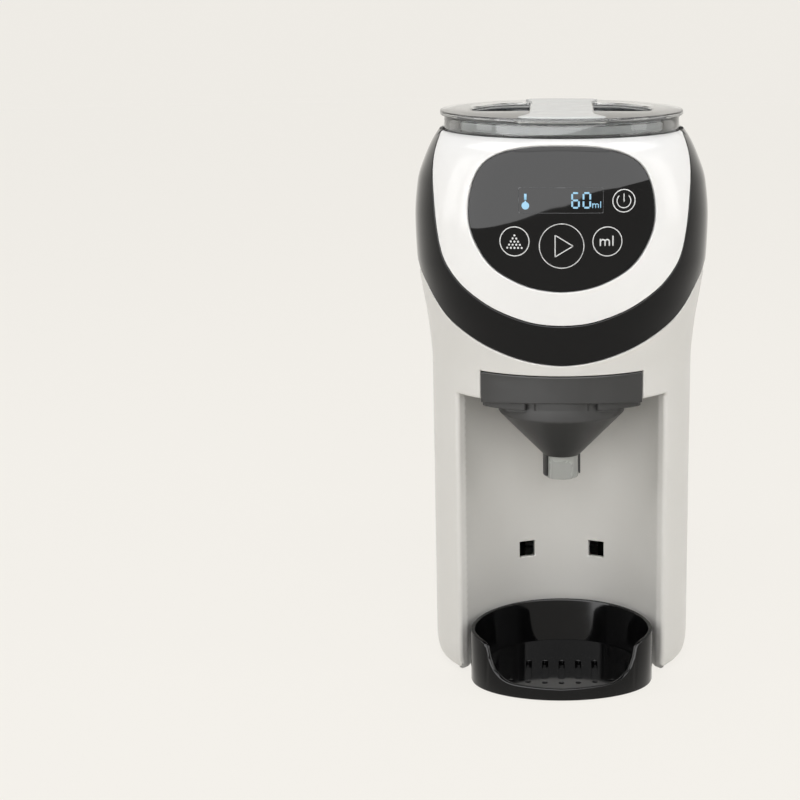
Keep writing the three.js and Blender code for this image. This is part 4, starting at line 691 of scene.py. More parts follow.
def handling_marks():
    """Faint smudges from hands and fine wiping scratches."""
    tree, start, end = group("handling_marks", (("Scale", 40.0),), ("Smudge", "Scratch"))
    place = node(tree, "ShaderNodeTexCoord")
    smudge = node(tree, "ShaderNodeTexNoise", {"Detail": 5.0, "Roughness": 0.62, "Distortion": 0.6})
    stretch = node(tree, "ShaderNodeMapping", {"Scale": (1.0, 1.0, 0.06), "Rotation": (0.3, 0.9, 0.2)})
    scratch = node(tree, "ShaderNodeTexNoise", {"Scale": 900.0, "Detail": 1.0})
    thin = node(tree, "ShaderNodeMapRange", {"From Min": 0.66, "From Max": 0.78})
    wire(tree, (place, "Object", smudge, "Vector"), (start, "Scale", smudge, "Scale"),
         (place, "Object", stretch, "Vector"), (stretch, "Vector", scratch, "Vector"),
         (scratch, "Fac", thin, "Value"), (smudge, "Fac", end, "Smudge"), (thin, "Result", end, "Scratch"))
    return tree


def settled_dust():
    """Mask of the fine dust and powder that settles on upward faces."""
    tree, start, end = group("settled_dust", (("Amount", 0.1),), ("Mask",))
    place = node(tree, "ShaderNodeTexCoord")
    facing = node(tree, "ShaderNodeNewGeometry")
    split = node(tree, "ShaderNodeSeparateXYZ")
    specks = node(tree, "ShaderNodeTexNoise", {"Scale": 260.0, "Detail": 4.0, "Roughness": 0.7})
    upward = node(tree, "ShaderNodeMapRange", {"From Min": 0.55, "From Max": 1.0})
    patchy = node(tree, "ShaderNodeMapRange", {"From Min": 0.45, "From Max": 0.8})
    masks = node(tree, "ShaderNodeMath", operation="MULTIPLY")
    amount = node(tree, "ShaderNodeMath", operation="MULTIPLY")
    wire(tree, (facing, "Normal", split, "Vector"), (split, "Z", upward, "Value"),
         (place, "Object", specks, "Vector"), (specks, "Fac", patchy, "Value"),
         (upward, "Result", masks, 0), (patchy, "Result", masks, 1),
         (masks, "Value", amount, 0), (start, "Amount", amount, 1), (amount, "Value", end, "Mask"))
    return tree


def effect(tree, maker, socket, value):
    """A shared effect's node group in a material, with its one value; the group itself is made once."""
    if maker.__name__ not in GROUPS:
        GROUPS[maker.__name__] = maker()
    return node(tree, "ShaderNodeGroup", {socket: value}, node_tree=GROUPS[maker.__name__])


def display(red, green, blue):
    """Colour as shown on a screen, 0 to 255, as the linear colour that a socket takes."""
    return tuple(((c / 255 + 0.055) / 1.055) ** 2.4 if c > 10 else c / 255 / 12.92
                 for c in (red, green, blue))


def shade(colour, by):
    """Colour made lighter or darker, with full opacity."""
    return tuple(min(1.0, c * by) for c in tuple(colour)[:3]) + (1.0,)


def blank(name):
    """Material with nothing in it but its output."""
    made = bpy.data.materials.new(name)
    made.use_nodes = True
    made.node_tree.nodes.clear()
    return made, made.node_tree, node(made.node_tree, "ShaderNodeOutputMaterial")


def finish(name, colour, rough, spread=0.06, grain=1500.0, depth=0.02, drift=0.05, smudge=40.0,
           dust=0.0, metallic=0.0, clear=0.0, ior=1.5, glow=0.0, specular=0.5):
    """Material with the moulded grain, handling marks and dust that its kind shows.

    depth is the grain's, in millimetres. spread is how far smudges move the roughness, drift how far the
    tone wanders, and glow the share of the colour that a lit print gives off.
    """
    made, tree, out = blank(name)
    shader = node(tree, "ShaderNodeBsdfPrincipled", {
        "Metallic": metallic, "IOR": ior, "Transmission Weight": clear, "Specular IOR Level": specular})
    body = shade(colour, UNLIT if glow else 1)
    pebble = effect(tree, moulded_grain, "Scale", grain)
    marks = effect(tree, handling_marks, "Scale", smudge)
    tone = node(tree, "ShaderNodeMix", {MIX_A: shade(body, 1 - drift), MIX_B: shade(body, 1 + drift)},
                data_type="RGBA")
    last = tone
    if dust:
        powder = effect(tree, settled_dust, "Amount", dust)
        last = node(tree, "ShaderNodeMix", {MIX_B: display(214, 210, 200) + (1.0,)}, data_type="RGBA")
        wire(tree, (powder, "Mask", last, "Factor"), (tone, MIX_OUT, last, MIX_A))
    gloss = node(tree, "ShaderNodeMapRange", {
        "From Min": 0.3, "From Max": 0.7, "To Min": max(LEAST_ROUGH, rough - spread),
        "To Max": rough + spread})
    scratched = node(tree, "ShaderNodeMath", {1: spread}, operation="MULTIPLY_ADD")
    bump = node(tree, "ShaderNodeBump", {"Strength": BUMP, "Distance": depth * MM})
    wire(tree, (pebble, "Tone", tone, "Factor"), (last, MIX_OUT, shader, "Base Color"),
         (marks, "Smudge", gloss, "Value"), (marks, "Scratch", scratched, 0),
         (gloss, "Result", scratched, 2), (scratched, "Value", shader, "Roughness"),
         (pebble, "Height", bump, "Height"), (bump, "Normal", shader, "Normal"),
         (shader, "BSDF", out, "Surface"))
    if glow:
        shader.inputs["Emission Color"].default_value = shade(colour, glow)
        shader.inputs["Emission Strength"].default_value = 1.0
    return made


# Colour, or the name of the user's setting, then roughness and what differs from finish's defaults.
SURFACES = {
    # Satin silver grey of the shells.
    "silver_shell": ("silver", 0.34, {"grain": 2600, "depth": 0.012, "drift": 0.012, "dust": 0.05}),
    # Gloss white of the shield.
    "white_shield": ("white", 0.14, {"spread": 0.03, "depth": 0.004, "drift": 0.008, "specular": 0.25}),
    # Polished black of the band and the tray.
    "black_gloss": ("black", 0.07, {
        "spread": 0.025, "depth": 0.003, "drift": 0.2, "dust": 0.004, "specular": 0.22}),
    # Black glass-like cover of the control panel.
    "panel_black": ("black", 0.03, {
        "spread": 0.012, "depth": 0.001, "drift": 0.2, "smudge": 25, "specular": 0.22}),
    # Dark grey moulded plastic of the funnel and of hidden carriers.
    "dark_grey": ("dark_grey", 0.36, {
        "grain": 2200, "depth": 0.015, "drift": 0.06, "dust": 0.03, "specular": 0.3}),
    # Matt black moulded plastic.
    "black_matte": (display(22, 22, 23), 0.45, {"grain": 1900, "drift": 0.1, "dust": 0.05}),
    # Clear plastic of the container and its lid.
    "clear_plastic": ("clear", 0.05, {
        "spread": 0.025, "depth": 0.004, "drift": 0.01, "clear": 1.0, "ior": 1.49}),
    # Tinted clear plastic of the water tank, and clear plastic darkened as painted shade in the lid's finger
    # wells.
    "tank_plastic": ("tank", 0.1, {
        "spread": 0.03, "depth": 0.006, "drift": 0.015, "clear": 1.0, "ior": 1.49}),
    # Dark tint of the finger wells' walls: painted shade of the recesses.
    "smoky_plastic": (display(112, 114, 117), 0.06, {
        "depth": 0.004, "drift": 0.02, "clear": 1.0, "ior": 1.49}),
    # Milky plastic of the lid's bar and of the funnel's spout.
    "grip_plastic": (display(196, 198, 198), 0.2, {"depth": 0.006, "drift": 0.015, "specular": 0.4}),
    "frosted_spout": (display(158, 160, 157), 0.3, {
        "depth": 0.01, "drift": 0.03, "clear": 0.1, "ior": 1.45}),
    # Natural nylon of gears, valve and pump.
    "nylon": (display(226, 221, 205), 0.42, {"grain": 1300, "depth": 0.03, "drift": 0.03}),
    # Black rubber of the feet, milky clear rubber of the lid's seal, milky silicone of the hoses.
    "rubber": (display(28, 28, 29), 0.72, {"grain": 1100, "depth": 0.05, "drift": 0.12, "dust": 0.15}),
    "clear_rubber": (display(208, 210, 210), 0.35, {
        "grain": 1100, "drift": 0.03, "clear": 0.7, "ior": 1.41}),
    "silicone": (display(216, 213, 204), 0.55, {"grain": 900, "depth": 0.03, "drift": 0.04}),
    # Bright steel of screws, shafts and motor cans, cast aluminium of the heater.
    "steel": (display(186, 187, 190), 0.27, {"grain": 1700, "depth": 0.008, "metallic": 1.0}),
    "aluminium": (display(172, 174, 177), 0.48, {
        "grain": 800, "depth": 0.05, "drift": 0.06, "metallic": 1.0}),
    # Green lacquer of the circuit boards.
    "board_green": (display(28, 84, 48), 0.3, {"grain": 420, "depth": 0.03, "drift": 0.18}),
    # Pale print of the icons, lit digits and the display window's fine line.
    "icon_print": ("icon", 0.4, {"depth": 0.003, "drift": 0.03}),
    "display_glow": ("glow", 0.3, {"depth": 0.002, "drift": 0.03, "glow": 0.6}),
    "window_line": (display(38, 40, 43), 0.25, {}),
}


def surface(name):
    """Material of a row in SURFACES, made when it is first asked for."""
    if name not in FINISHES:
        colour, rough, details = SURFACES[name]
        if isinstance(colour, str):
            colour = getattr(bpy.context.scene.maker_finishes, colour)
        FINISHES[name] = finish(name, colour, rough, **details)
    return FINISHES[name]


class MakerFinishes(bpy.types.PropertyGroup):
    """Colours of the formula maker's finishes."""

    silver: FloatVectorProperty(name="Silver shells", description="Satin silver grey of the body",
                                subtype="COLOR", default=display(212, 211, 208))
    white: FloatVectorProperty(name="White shield", description="Gloss white round the control panel",
                               subtype="COLOR", default=display(238, 238, 238))
    black: FloatVectorProperty(name="Gloss black", description="Band, tray and control panel",
                               subtype="COLOR", default=display(9, 9, 10))
    dark_grey: FloatVectorProperty(name="Dark grey", description="Funnel and hidden carriers",
                                   subtype="COLOR", default=display(54, 54, 54))
    clear: FloatVectorProperty(name="Clear plastic", description="Powder container and lid",
                               subtype="COLOR", default=display(249, 251, 251))
    tank: FloatVectorProperty(name="Tank plastic", description="Smoke-tinted water tank",
                              subtype="COLOR", default=display(233, 239, 243))
    icon: FloatVectorProperty(name="Printed icons", description="Pale print on the control panel",
                              subtype="COLOR", default=display(206, 207, 208))
    glow: FloatVectorProperty(name="Display", description="Lit digits behind the panel",
                              subtype="COLOR", default=display(150, 208, 240))


class MakerSizes(bpy.types.PropertyGroup):
    """Sizes of the finishing details."""

    mesh_step: FloatProperty(name="Mesh step", description="Distance between points on the large skins",
                             unit="LENGTH", default=0.003, min=0.001)
    seam_round: FloatProperty(name="Seam rounding", description="Radius of the shells' edges at a seam",
                              unit="LENGTH", default=0.0006, min=0.0001)
    icon_line: FloatProperty(name="Icon line", description="Width of the printed icons' lines",
                             unit="LENGTH", default=0.0005, min=0.0001)


class MakerStage(bpy.types.PropertyGroup):
    """Floor, light and camera."""

    floor: FloatVectorProperty(name="Floor", description="Colour of the floor and backdrop",
                               subtype="COLOR", default=display(244, 241, 235))
    world: FloatProperty(name="Surrounding light", description="Strength of the plain surrounding light",
                         default=0.35, min=0.0)
    key: FloatProperty(name="Main softbox", description="Power of the softbox in front",
                       unit="POWER", default=12.5, min=0.0)
    gleam: FloatProperty(name="Reflector", description="Strength of the card that shows in the gloss only",
                         default=6.4, min=0.0)
    lens: FloatProperty(name="Lens", description="Focal length of the camera",
                        unit="CAMERA", default=85.5, min=1.0)


# Pieces.
def sizes():
    """The sizes that a user may change, in millimetres."""
    chosen = bpy.context.scene.maker_sizes
    return chosen.mesh_step / MM, chosen.seam_round / MM, chosen.icon_line / MM


def both(right):
    """Closed loop from its right half, which starts and ends on the middle line."""
    left = right[::-1] * (-1, 1)
    return np.vstack((right, left))


def behind(right):
    """Closed loop round the back from its right half, which starts and ends at the rear's middle."""
    left = right[::-1] * (-1, 1) + (2 * ROUND, 0)
    return np.vstack((right, left))


def upright(x, low, high):
    """Line up the front of the skin at a distance from the middle, as (u, v)."""
    z = np.linspace(low, high, max(2, int(abs(high - low) / OUTLINE_STEP)))
    return np.stack((front_u(x, z), z), axis=1)


def line(*points):
    """Straight lines in (u, v), cut into even steps."""
    return dense(points, LINE_STEP, closed=False)


def front_curve(x, z, inset=0.0):
    """Front of the skin in plan at a height, or some way inside it, as (x, y)."""
    half, reach, *_ = section(z)
    return np.stack((x, -(reach - inset) * np.sqrt(1 - (x / (half - inset)) ** 2)), axis=1)


# Places round the plan and heights where the silver shells, the band and the shield meet.
SPLIT = QUARTER + SPLIT_Y
MOUTH_HALF = SKIRT_HALF + GAP
MOUTH_TOP = SKIRT_TOP + GAP
RIM_END = 308.3
DECK_FRONT = QUARTER + DECK[0][0] * COLUMN_BACK
TAIL_TIP = QUARTER + TAIL[-1][0] * COLUMN_BACK
DECK_REAR = 0.8936 * BODY_TOP
DECK_JOIN = BODY_TOP + 1.0
DECK_RIM = 0.9

# Filling bay: its wall in plan, its edges and the slots that the tray hooks into.
BAY_COUNT = 56
BAY_HEIGHTS = np.linspace(0, BAY_TOP, BAY_COUNT)
BAY_EDGE = (BAY_HEIGHTS, front_u(np.full(BAY_COUNT, BAY_MOUTH), BAY_HEIGHTS))
BAY_TURN = (90, 14)
BAY_LIP = 1.3
BAY_SAMPLE = 0.6
HOOK_SLOT = 4.6
CEILING_NOTCH = ((CUP_RADIUS + 1.5, -61.2), (MOUTH_HALF, -56.0))
CEILING_PULL = (-0.3, BAY_ROUND - 0.2)
EDGE_NEAR = 0.3

# Rear shell: rounding of the tank's ledge as (inset, height), and what is cut from it.
LEDGE_RINGS = ((1.2, 2), (0.4, 2.3), (0, 3.2), (0, 24.8), (0.4, 25.7), (1.2, 26))
LEDGE_START = COLUMN_BACK - 6
VALVE_HOLE = (12.3, 10, 30)
SOCKET = ((18, 183, 6), (42, 190, 21), 1.0)


def bay_path():
    """Right half of the bay's wall in plan, from its middle at the back to its mouth."""
    wall = arc(BAY_RADIUS, *BAY_TURN, 0, BAY_Y, 60)
    return np.vstack((wall, [(BAY_MOUTH - BAY_LIP, BAY_MOUTH_Y + BAY_LIP)]))


def bay_wall():
    """Sheet of the bay's wall with the slots that the tray hooks into."""
    right = bay_path()
    path = np.vstack(((right[::-1] * (-1, 1))[:-1], right))
    run = np.concatenate(((0,), np.cumsum(np.linalg.norm(np.diff(path, axis=0), axis=1))))
    last = run[-1]

    def place(u, v):
        ahead = unit(np.stack([np.interp(u + BAY_SAMPLE, run, c) - np.interp(u - BAY_SAMPLE, run, c)
                               for c in path.T], axis=1))
        normal = np.column_stack((ahead[:, 1], -ahead[:, 0], np.zeros(len(u))))
        return np.column_stack((np.interp(u, run, path[:, 0]), np.interp(u, run, path[:, 1]), v)), normal

    def plain(u, v):
        return (u < HIT) | (u > last - HIT) | (v < SHELL_BOTTOM + HIT) | (v > BAY_TOP - HIT)

    at = BAY_RADIUS * math.asin(HOOK_X / BAY_RADIUS)
    half = HOOK_SLOT
    holes = [dense(corners(u - half, z - half, u + half, z + half))
             for u in (last / 2 - at, last / 2 + at) for z in HOOKS]
    outer = dense(corners(0, SHELL_BOTTOM, last, BAY_TOP), 2.5)
    return sheet([outer] + holes, place, WALL, step=2.5, top=0.5, seam=0.0, plain=plain)


def front_shell():
    """Silver front of the column, the bay inside it and the apron above the bay."""
    step, radius, _ = sizes()
    edge = np.vstack((front_line(BAND), side_line(TAIL)))
    top = np.interp(SPLIT, edge[:, 0], edge[:, 1])
    edge = np.vstack((edge[edge[:, 0] < SPLIT - 0.5], [(SPLIT, top)]))
    right = np.vstack((
        line((0, MOUTH_TOP), (front_u(MOUTH_HALF, MOUTH_TOP), MOUTH_TOP)),
        upright(MOUTH_HALF, MOUTH_TOP, APRON_LOW),
        line((front_u(MOUTH_HALF, APRON_LOW), APRON_LOW), (front_u(BAY_MOUTH, APRON_LOW), APRON_LOW)),
        upright(BAY_MOUTH, APRON_LOW, SHELL_BOTTOM),
        line((front_u(BAY_MOUTH, SHELL_BOTTOM), SHELL_BOTTOM), (SPLIT, SHELL_BOTTOM), (SPLIT, top)),
        edge[::-1]))

    def soft(u, v):
        bay = np.interp(v, *BAY_EDGE)
        upright_edge = (v < APRON_LOW + EDGE_NEAR) & (np.abs(np.abs(u) - bay) < 2 * EDGE_NEAR)
        return upright_edge | (np.abs(v - APRON_LOW) < EDGE_NEAR) & (np.abs(u) < bay)

    outside = sheet([both(right)], skin(), WALL, step, radius, soft=soft)
    front = front_curve(np.linspace(MOUTH_HALF, BAY_MOUTH, 8), BAY_TOP)
    back = CUP_RADIUS - OUTLET + 2 * GAP
    ceiling = np.vstack((
        dense([(0, back), (CEILING_NOTCH[0][0], back), *CEILING_NOTCH], 2.5, closed=False),
        front + CEILING_PULL, bay_path()[::-1]))
    roof = sheet([both(ceiling)], flat_at(BAY_TOP, -1), WALL, step, 0.5, seam=0.0)
    parts = [outside, bay_wall(), roof]
    piece("front_shell_skin", parts, "silver_shell", "root", "silver_shell", "front_shell")


def ledge_outline(inset):
    """Plan of the ledge that carries the tank."""
    half, back, corner = TANK_HALF - inset, TANK_BACK - inset, TANK_CORNER - inset
    return both(np.vstack(([(half, LEDGE_START)], arc(corner, 0, 90, half - corner, back - corner, 16))))


def rear_shell():
    """Silver rear of the column with the ledge that the tank stands on."""
    step, radius, _ = sizes()
    tail = side_line(TAIL)
    deck = side_line(DECK)
    top = np.interp(SPLIT, tail[:, 0], tail[:, 1])
    deck = deck[(deck[:, 0] > TAIL_TIP + 1) & (deck[:, 0] < QUARTER + SIDE)]
    right = np.vstack((
        line((ROUND, SHELL_BOTTOM), (SPLIT, SHELL_BOTTOM), (SPLIT, top)), tail[tail[:, 0] > SPLIT + 0.5],
        deck, line((QUARTER + SIDE, DECK_REAR), (ROUND, DECK_REAR))))
    column = sheet([behind(right)], skin(), WALL, step, radius)
    piece("rear_shell_skin", [column], "silver_shell", "root", "silver_shell", "rear_shell")
    rings = [level(ledge_outline(inset), z) for inset, z in LEDGE_RINGS]
    ledge = combine("tank_ledge", stack(rings), "silver_shell",
                    cuts=[post(*VALVE_HOLE, 0, VALVE_Y, 96, 0.4), block(*SOCKET)])
    place_piece(ledge, "root", "silver_shell", "rear_shell")


def top_deck():
    """Silver deck behind the container's neck."""
    step, radius, _ = sizes()
    deck = side_line(DECK)
    right = np.vstack((
        line((ROUND, DECK_JOIN), (DECK_FRONT, DECK_JOIN)), deck[deck[:, 0] < QUARTER + SIDE],
        line((QUARTER + SIDE, DECK_REAR), (ROUND, DECK_REAR))))
    side = sheet([behind(right)], skin(), WALL, step, radius, plain=lambda u, v: v > DECK_JOIN - HAIR)
    outer = skin_point(np.linspace(ROUND, DECK_FRONT, 120), DECK_JOIN)[:, :2]
    angle = math.degrees(math.atan2(outer[-1][1], outer[-1][0]))
    right = np.vstack((outer, arc(HOLE_RADIUS, angle, 90, count=60)))
    top = sheet([both(right)], flat_at(BODY_TOP), WALL, step, DECK_RIM,
                plain=lambda x, y: np.hypot(x, y) > HOLE_RADIUS + 0.4)
    piece("top_deck_skin", [side, top], "silver_shell", "root", "silver_shell", "top_deck")


def panel_loop():
    """Outline of the control panel on the skin."""
    return both(front_line(PANEL))


def under_rim(u, v):
    """Whether a point lies on the edge that ends under the lid, which stays sharp."""
    return v > RIM_END - HAIR


def shield():
    """Gloss white shield round the control panel."""
    step, radius, _ = sizes()
    edge = front_line(SHIELD)
    right = np.vstack((edge, line(edge[-1], (edge[-1][0], RIM_END), (0, RIM_END))))
    part = sheet([both(right), panel_loop()], skin(), WALL, step, radius, plain=under_rim)
    piece("front_shield_skin", [part], "white_shield", "root", "white_shield", "front_shield")


def band():
    """Gloss black band that sweeps from the front up to the rim on both sides."""
    step, radius, _ = sizes()
    edge = front_line(SHIELD)
    deck = side_line(DECK)
    deck = deck[deck[:, 0] < TAIL_TIP - 1]
    right = np.vstack((
        front_line(BAND), side_line(TAIL), deck[::-1],
        line((DECK_FRONT, BODY_TOP), (DECK_FRONT, RIM_END), (edge[-1][0], RIM_END), edge[-1]), edge[::-1]))
    part = sheet([both(right)], skin(), WALL, step, radius, plain=under_rim)
    piece("trim_band_skin", [part], "black_gloss", "root", "black_gloss", "trim_band")


# Control panel: places in the front view as (x, height), and sizes of its print.
PRINT_LIFT = 0.44
PRINT_EDGE = 0.03
POWER = (32.6, 272.7)
POWER_RING, POWER_ARCH, POWER_GAP = 6.1, 3.9, (-228, 48)
POWER_BAR = (-0.7, 3.8)
HEAP = (-24.7, 251.6)
VOLUME = (24.0, 251.6)
SMALL_RING = 7.9
DOT_ROWS, DOT_RADIUS, DOT_PITCH, DOT_RISE, DOT_DROP = 5, 0.55, 1.9, 1.65, 3.4
PLAY = (0, 249.3)
PLAY_RING = 11.9
ARROW = ((-3.4, -5.7), (-3.4, 5.7), (6.0, 0))
VOLUME_MARK = (-3.7, -2.4, 5.4, 0.72)
WINDOW = (-22.6, 266.4, 21.9, 279.9)
WINDOW_LINE = 0.3
WINDOW_CORNER = 0.8
DIGITS = ((5.5, "1011111"), (11.4, "1111110"))
DIGIT_LOW, DIGIT_WIDTH, DIGIT_HEIGHT, DIGIT_LINE = 269.4, 3.5, 7.6, 0.95
DIGIT_MARK = (16.2, 269.2, 3.4, 0.45)
BULB = (-18.9, 270.4)
BULB_RADIUS = 2.0
STEM = (-19.55, 273.4, -18.25, 276.6)
STEM_FOOT = (271.8, 273.0, 0.7)


def printed(*loops):
    """Thin print on the control panel from loops of (x, z) in the front view."""
    placed = [np.stack((front_u(loop[:, 0], loop[:, 1]), loop[:, 1]), axis=1)
              for loop in (np.asarray(one, float) for one in loops)]
    return sheet(placed, skin(PRINT_LIFT), 0.2, step=0.9, top=PRINT_EDGE, under=PRINT_EDGE, seam=0.0)


def ring_icon(place, radius, width):
    """Thin ring of an icon."""
    return printed(circle(radius, *place, 72), circle(radius - width, *place, 64))


def bar(a, b, width):
    """Straight line of an icon between two places."""
    a, b = np.array(a, float), np.array(b, float)
    along = unit(b - a)
    side = np.array((-along[1], along[0])) * width / 2
    return printed(dense([a - side, b - side, b + side, a + side], 0.8))


def arch(x, z, radius, start, end, width):
    """Curved line of an icon."""
    outer = arc(radius, start, end, x, z, 28)
    return printed(np.vstack((outer, arc(radius - width, end, start, x, z, 24))))


def unit_mark(x, z, height, width):
    """Small letters that name the unit of volume, made of lines."""
    reach = height * 0.42
    parts = [bar((x, z), (x, z + height * 0.72), width)]
    for i in range(2):
        middle = x + reach * (i + 0.5) + width * 0.25
        parts.append(arch(middle, z + height * 0.42, reach / 2 + width / 2, 0, 180, width))
        parts.append(bar((middle + reach / 2, z), (middle + reach / 2, z + height * 0.42), width))
    parts.append(bar((x + reach * 2.9, z), (x + reach * 2.9, z + height), width))
    return parts


def digit(x, z, width, height, lit, line_width):
    """Digit of bars, with a 1 in lit for each that shines: top, upper right, lower right, bottom, lower left,
    upper left, middle.
    """
    half, cut = height / 2, line_width * 0.45
    ends = (((x, z + height), (x + width, z + height)), ((x + width, z + height), (x + width, z + half)),
            ((x + width, z + half), (x + width, z)), ((x, z), (x + width, z)), ((x, z + half), (x, z)),
            ((x, z + height), (x, z + half)), ((x, z + half), (x + width, z + half)))
    parts = []
    for on, (a, b) in zip(lit, ends):
        if on == "1":
            along = unit(np.subtract(b, a).astype(float)) * cut
            parts.append(bar(np.add(a, along), np.subtract(b, along), line_width))
    return parts


def control_panel():
    """Gloss black panel with its printed icons and lit display."""
    step, _, width = sizes()
    cover = sheet([panel_loop()], skin(0.5), 2.0, step, 0.4, seam=0.3)
    piece("panel_cover_skin", [cover], "panel_black", "root", "panel_black", "panel_cover")
    parts = [ring_icon(POWER, POWER_RING, width), ring_icon(HEAP, SMALL_RING, width),
             ring_icon(PLAY, PLAY_RING, width), ring_icon(VOLUME, SMALL_RING, width),
             arch(*POWER, POWER_ARCH, *POWER_GAP, width),
             bar(*(np.add(POWER, (0, z)) for z in POWER_BAR), width)]
    for line_up in range(DOT_ROWS):
        dots = DOT_ROWS - line_up
        for i in range(dots):
            x = HEAP[0] + (i - (dots - 1) / 2) * DOT_PITCH
            parts.append(printed(circle(DOT_RADIUS, x, HEAP[1] - DOT_DROP + line_up * DOT_RISE, 14)))
    tips = [np.add(PLAY, tip) for tip in ARROW]
    parts += [bar(a, b, width) for a, b in zip(tips, tips[1:] + tips[:1])]
    x, z, *letters = VOLUME_MARK
    parts += unit_mark(VOLUME[0] + x, VOLUME[1] + z, *letters)
    piece("panel_icons", parts, "icon_print", "root", "panel_black")
    inner = np.add(WINDOW, (WINDOW_LINE, WINDOW_LINE, -WINDOW_LINE, -WINDOW_LINE))
    window = [dense(rounded(corners(*sides), WINDOW_CORNER, closed=True)) for sides in (WINDOW, inner)]
    piece("display_window", [printed(*window)], "window_line", "root", "panel_black")
    lit = [part for x, bars in DIGITS
           for part in digit(x, DIGIT_LOW, DIGIT_WIDTH, DIGIT_HEIGHT, bars, DIGIT_LINE)]
    lit += unit_mark(*DIGIT_MARK)
    foot_low, foot_high, foot_width = STEM_FOOT
    lit += [printed(circle(BULB_RADIUS, *BULB, 36)), printed(corners(*STEM)),
            bar((BULB[0], foot_low), (BULB[0], foot_high), foot_width)]
    piece("display_digits", lit, "display_glow", "root", "panel_black")


# Powder container, its seat and the wheel below it: profiles as (radius, height).
SEAT_PROFILE = ((0, 243), (62.3, 243), (62.3, 298.7), (66.4, 298.7), (66.4, 301.2), (60.3, 301.2),
                (60.3, 245.5), (0, 245.5))
BOWL_PROFILE = ((0, 245.8), (59.5, 245.8), (59.5, 301.8), (65, 301.8), (65, 311.2), (63, 311.2),
                (63, 303.8), (57.5, 303.8), (57.5, 248.3), (0, 248.3))
FLOOR_CUT = (230, 260)
SEAT_HOLES = (12, 10)
BOWL_HOLES = (8.6, 9)
GUARD_OUTER, GUARD_INNER, GUARD_TURN, GUARD_TOP, GUARD_THICK = 56.8, 24, (-120, -60), 259.4, 2.2
WHEEL_RADIUS, WHEEL_TOP, WHEEL_THICK = 56.5, 256.6, 8.0
POCKETS, POCKET_RADIUS = 8, 8.2
HUB_PROFILE = ((0, 255), (9, 255), (9, 259.7), (5, 259.7), (5, 267.7), (0, 267.7))
STEM_POST = (8, 237, 249.2)
STIRRER_HUB = (5.3, 10, 260, 270.2)
STIRRER_ARM = (((7.5, -2.5, 260), (54.5, 2.5, 263)), ((48.5, -1.5, 260), (54.5, 1.5, 282)))
ARMS, ARM_START, ARM_EDGE = 3, 30, 0.7


def floor_holes(shaft, outlet):
    """Cutters for the shaft's hole and the powder outlet in a floor of the head."""
    return [post(shaft, *FLOOR_CUT), post(outlet, *FLOOR_CUT, 0, -OUTLET)]


def container_seat():
    """Black cup in the head that the container stands in."""
    seat = combine("container_seat_cup", lathe(SEAT_PROFILE, closed=False), "black_matte",
                   cuts=floor_holes(*SEAT_HOLES))
    place_piece(seat, "root", "black_matte", "container_seat")


def container():
    """Clear powder container with the guard over its outlet."""
    bowl = combine("powder_container_bowl", lathe(BOWL_PROFILE, closed=False, radius=0.8), "clear_plastic",
                   cuts=floor_holes(*BOWL_HOLES))
    place_piece(bowl, "container", "clear_plastic", "powder_container")
    outline = np.vstack((
        arc(GUARD_OUTER, *GUARD_TURN, count=40), arc(GUARD_INNER, *GUARD_TURN[::-1], count=20)))
    guard = sheet([dense(outline, LINE_STEP)], flat_at(GUARD_TOP), GUARD_THICK, 3.0, 0.4)
    piece("outlet_guard_plate", [guard], "clear_plastic", "container", "clear_plastic", "outlet_guard")


def turned(part, angle):
    """Part turned about the head's axis."""
    points, faces, _ = part
    x, y = points[:, 0].copy(), points[:, 1].copy()
    points[:, 0] = x * math.cos(angle) - y * math.sin(angle)
    points[:, 1] = x * math.sin(angle) + y * math.cos(angle)
    return points, faces, None


def dosing():
    """Black dosing wheel with its powder pockets, and the stirrer above it."""
    turn = np.arange(POCKETS) / POCKETS * 2 * math.pi - math.pi / 2
    pockets = [circle(POCKET_RADIUS, OUTLET * math.cos(t), OUTLET * math.sin(t), 40) for t in turn]
    plate = sheet([circle(WHEEL_RADIUS, count=140)] + pockets, flat_at(WHEEL_TOP), WHEEL_THICK, 3.0, 0.8, 0.4)
    parts = [plate, lathe(HUB_PROFILE, closed=False, count=48), post(*STEM_POST, edge=0.4)]
    piece("dosing_wheel_disc", parts, "black_matte", "dosing", "black_matte", "dosing_wheel")
    arms = [turned(block(*ends, ARM_EDGE), math.radians(360 // ARMS * i + ARM_START))
            for i in range(ARMS) for ends in STIRRER_ARM]
    piece("stirrer_arms", [tube(*STIRRER_HUB, count=48)] + arms, "black_matte", "dosing", "black_matte",
          "stirrer")


# Lid: its plate, its finger wells as (offset, height), the bar between them, its lugs and its seal.
LID_PLATE = (67.2, 311.5, 314.2)
LID_PLUG = (59.2, 61.2, 304.5, 311.8)
WELL_INNER, WELL_RADIUS, WELL_FRONT, WELL_BACK, WELL_CORNER = 18, 50, -16, 40, 2.5
WELL_CUP = ((-0.6, 300.2), (1.0, 300.6), (1.6, 302.0), (1.6, 314.0))
WELL_HOLLOW = ((-1.6, 301.8), (-0.5, 302.1), (0, 303.2), (0, 313.4), (0.6, 314.3), (0.6, 318))
# Below this height and within this radius, the lid's faces take the dark tint that paints shade in the finger
# wells.
WELL_SHADE_BELOW, WELL_SHADE_WITHIN = 311.4, 53
BAR_END, BAR_HALF, BAR_RADIUS, BAR_TOP = 59, 17.2, 64.2, 315.0
BAR_FLARE_FRONT, BAR_FLARE_BACK = 6.0, 3.0
LUGS = ((0, 31, 311.3, 6.8), (180, 31, 311.3, 6.8), (-90, 29, 305.3, 1.3), (90, 29, 305.3, 1.3))
LUG_RING = (62.8, 61.4)
SEALS = ((-90, 58, 309.5, 4.0), (90, 58, 309.5, 4.0))
SEAL_RING = (62.7, 61.5)


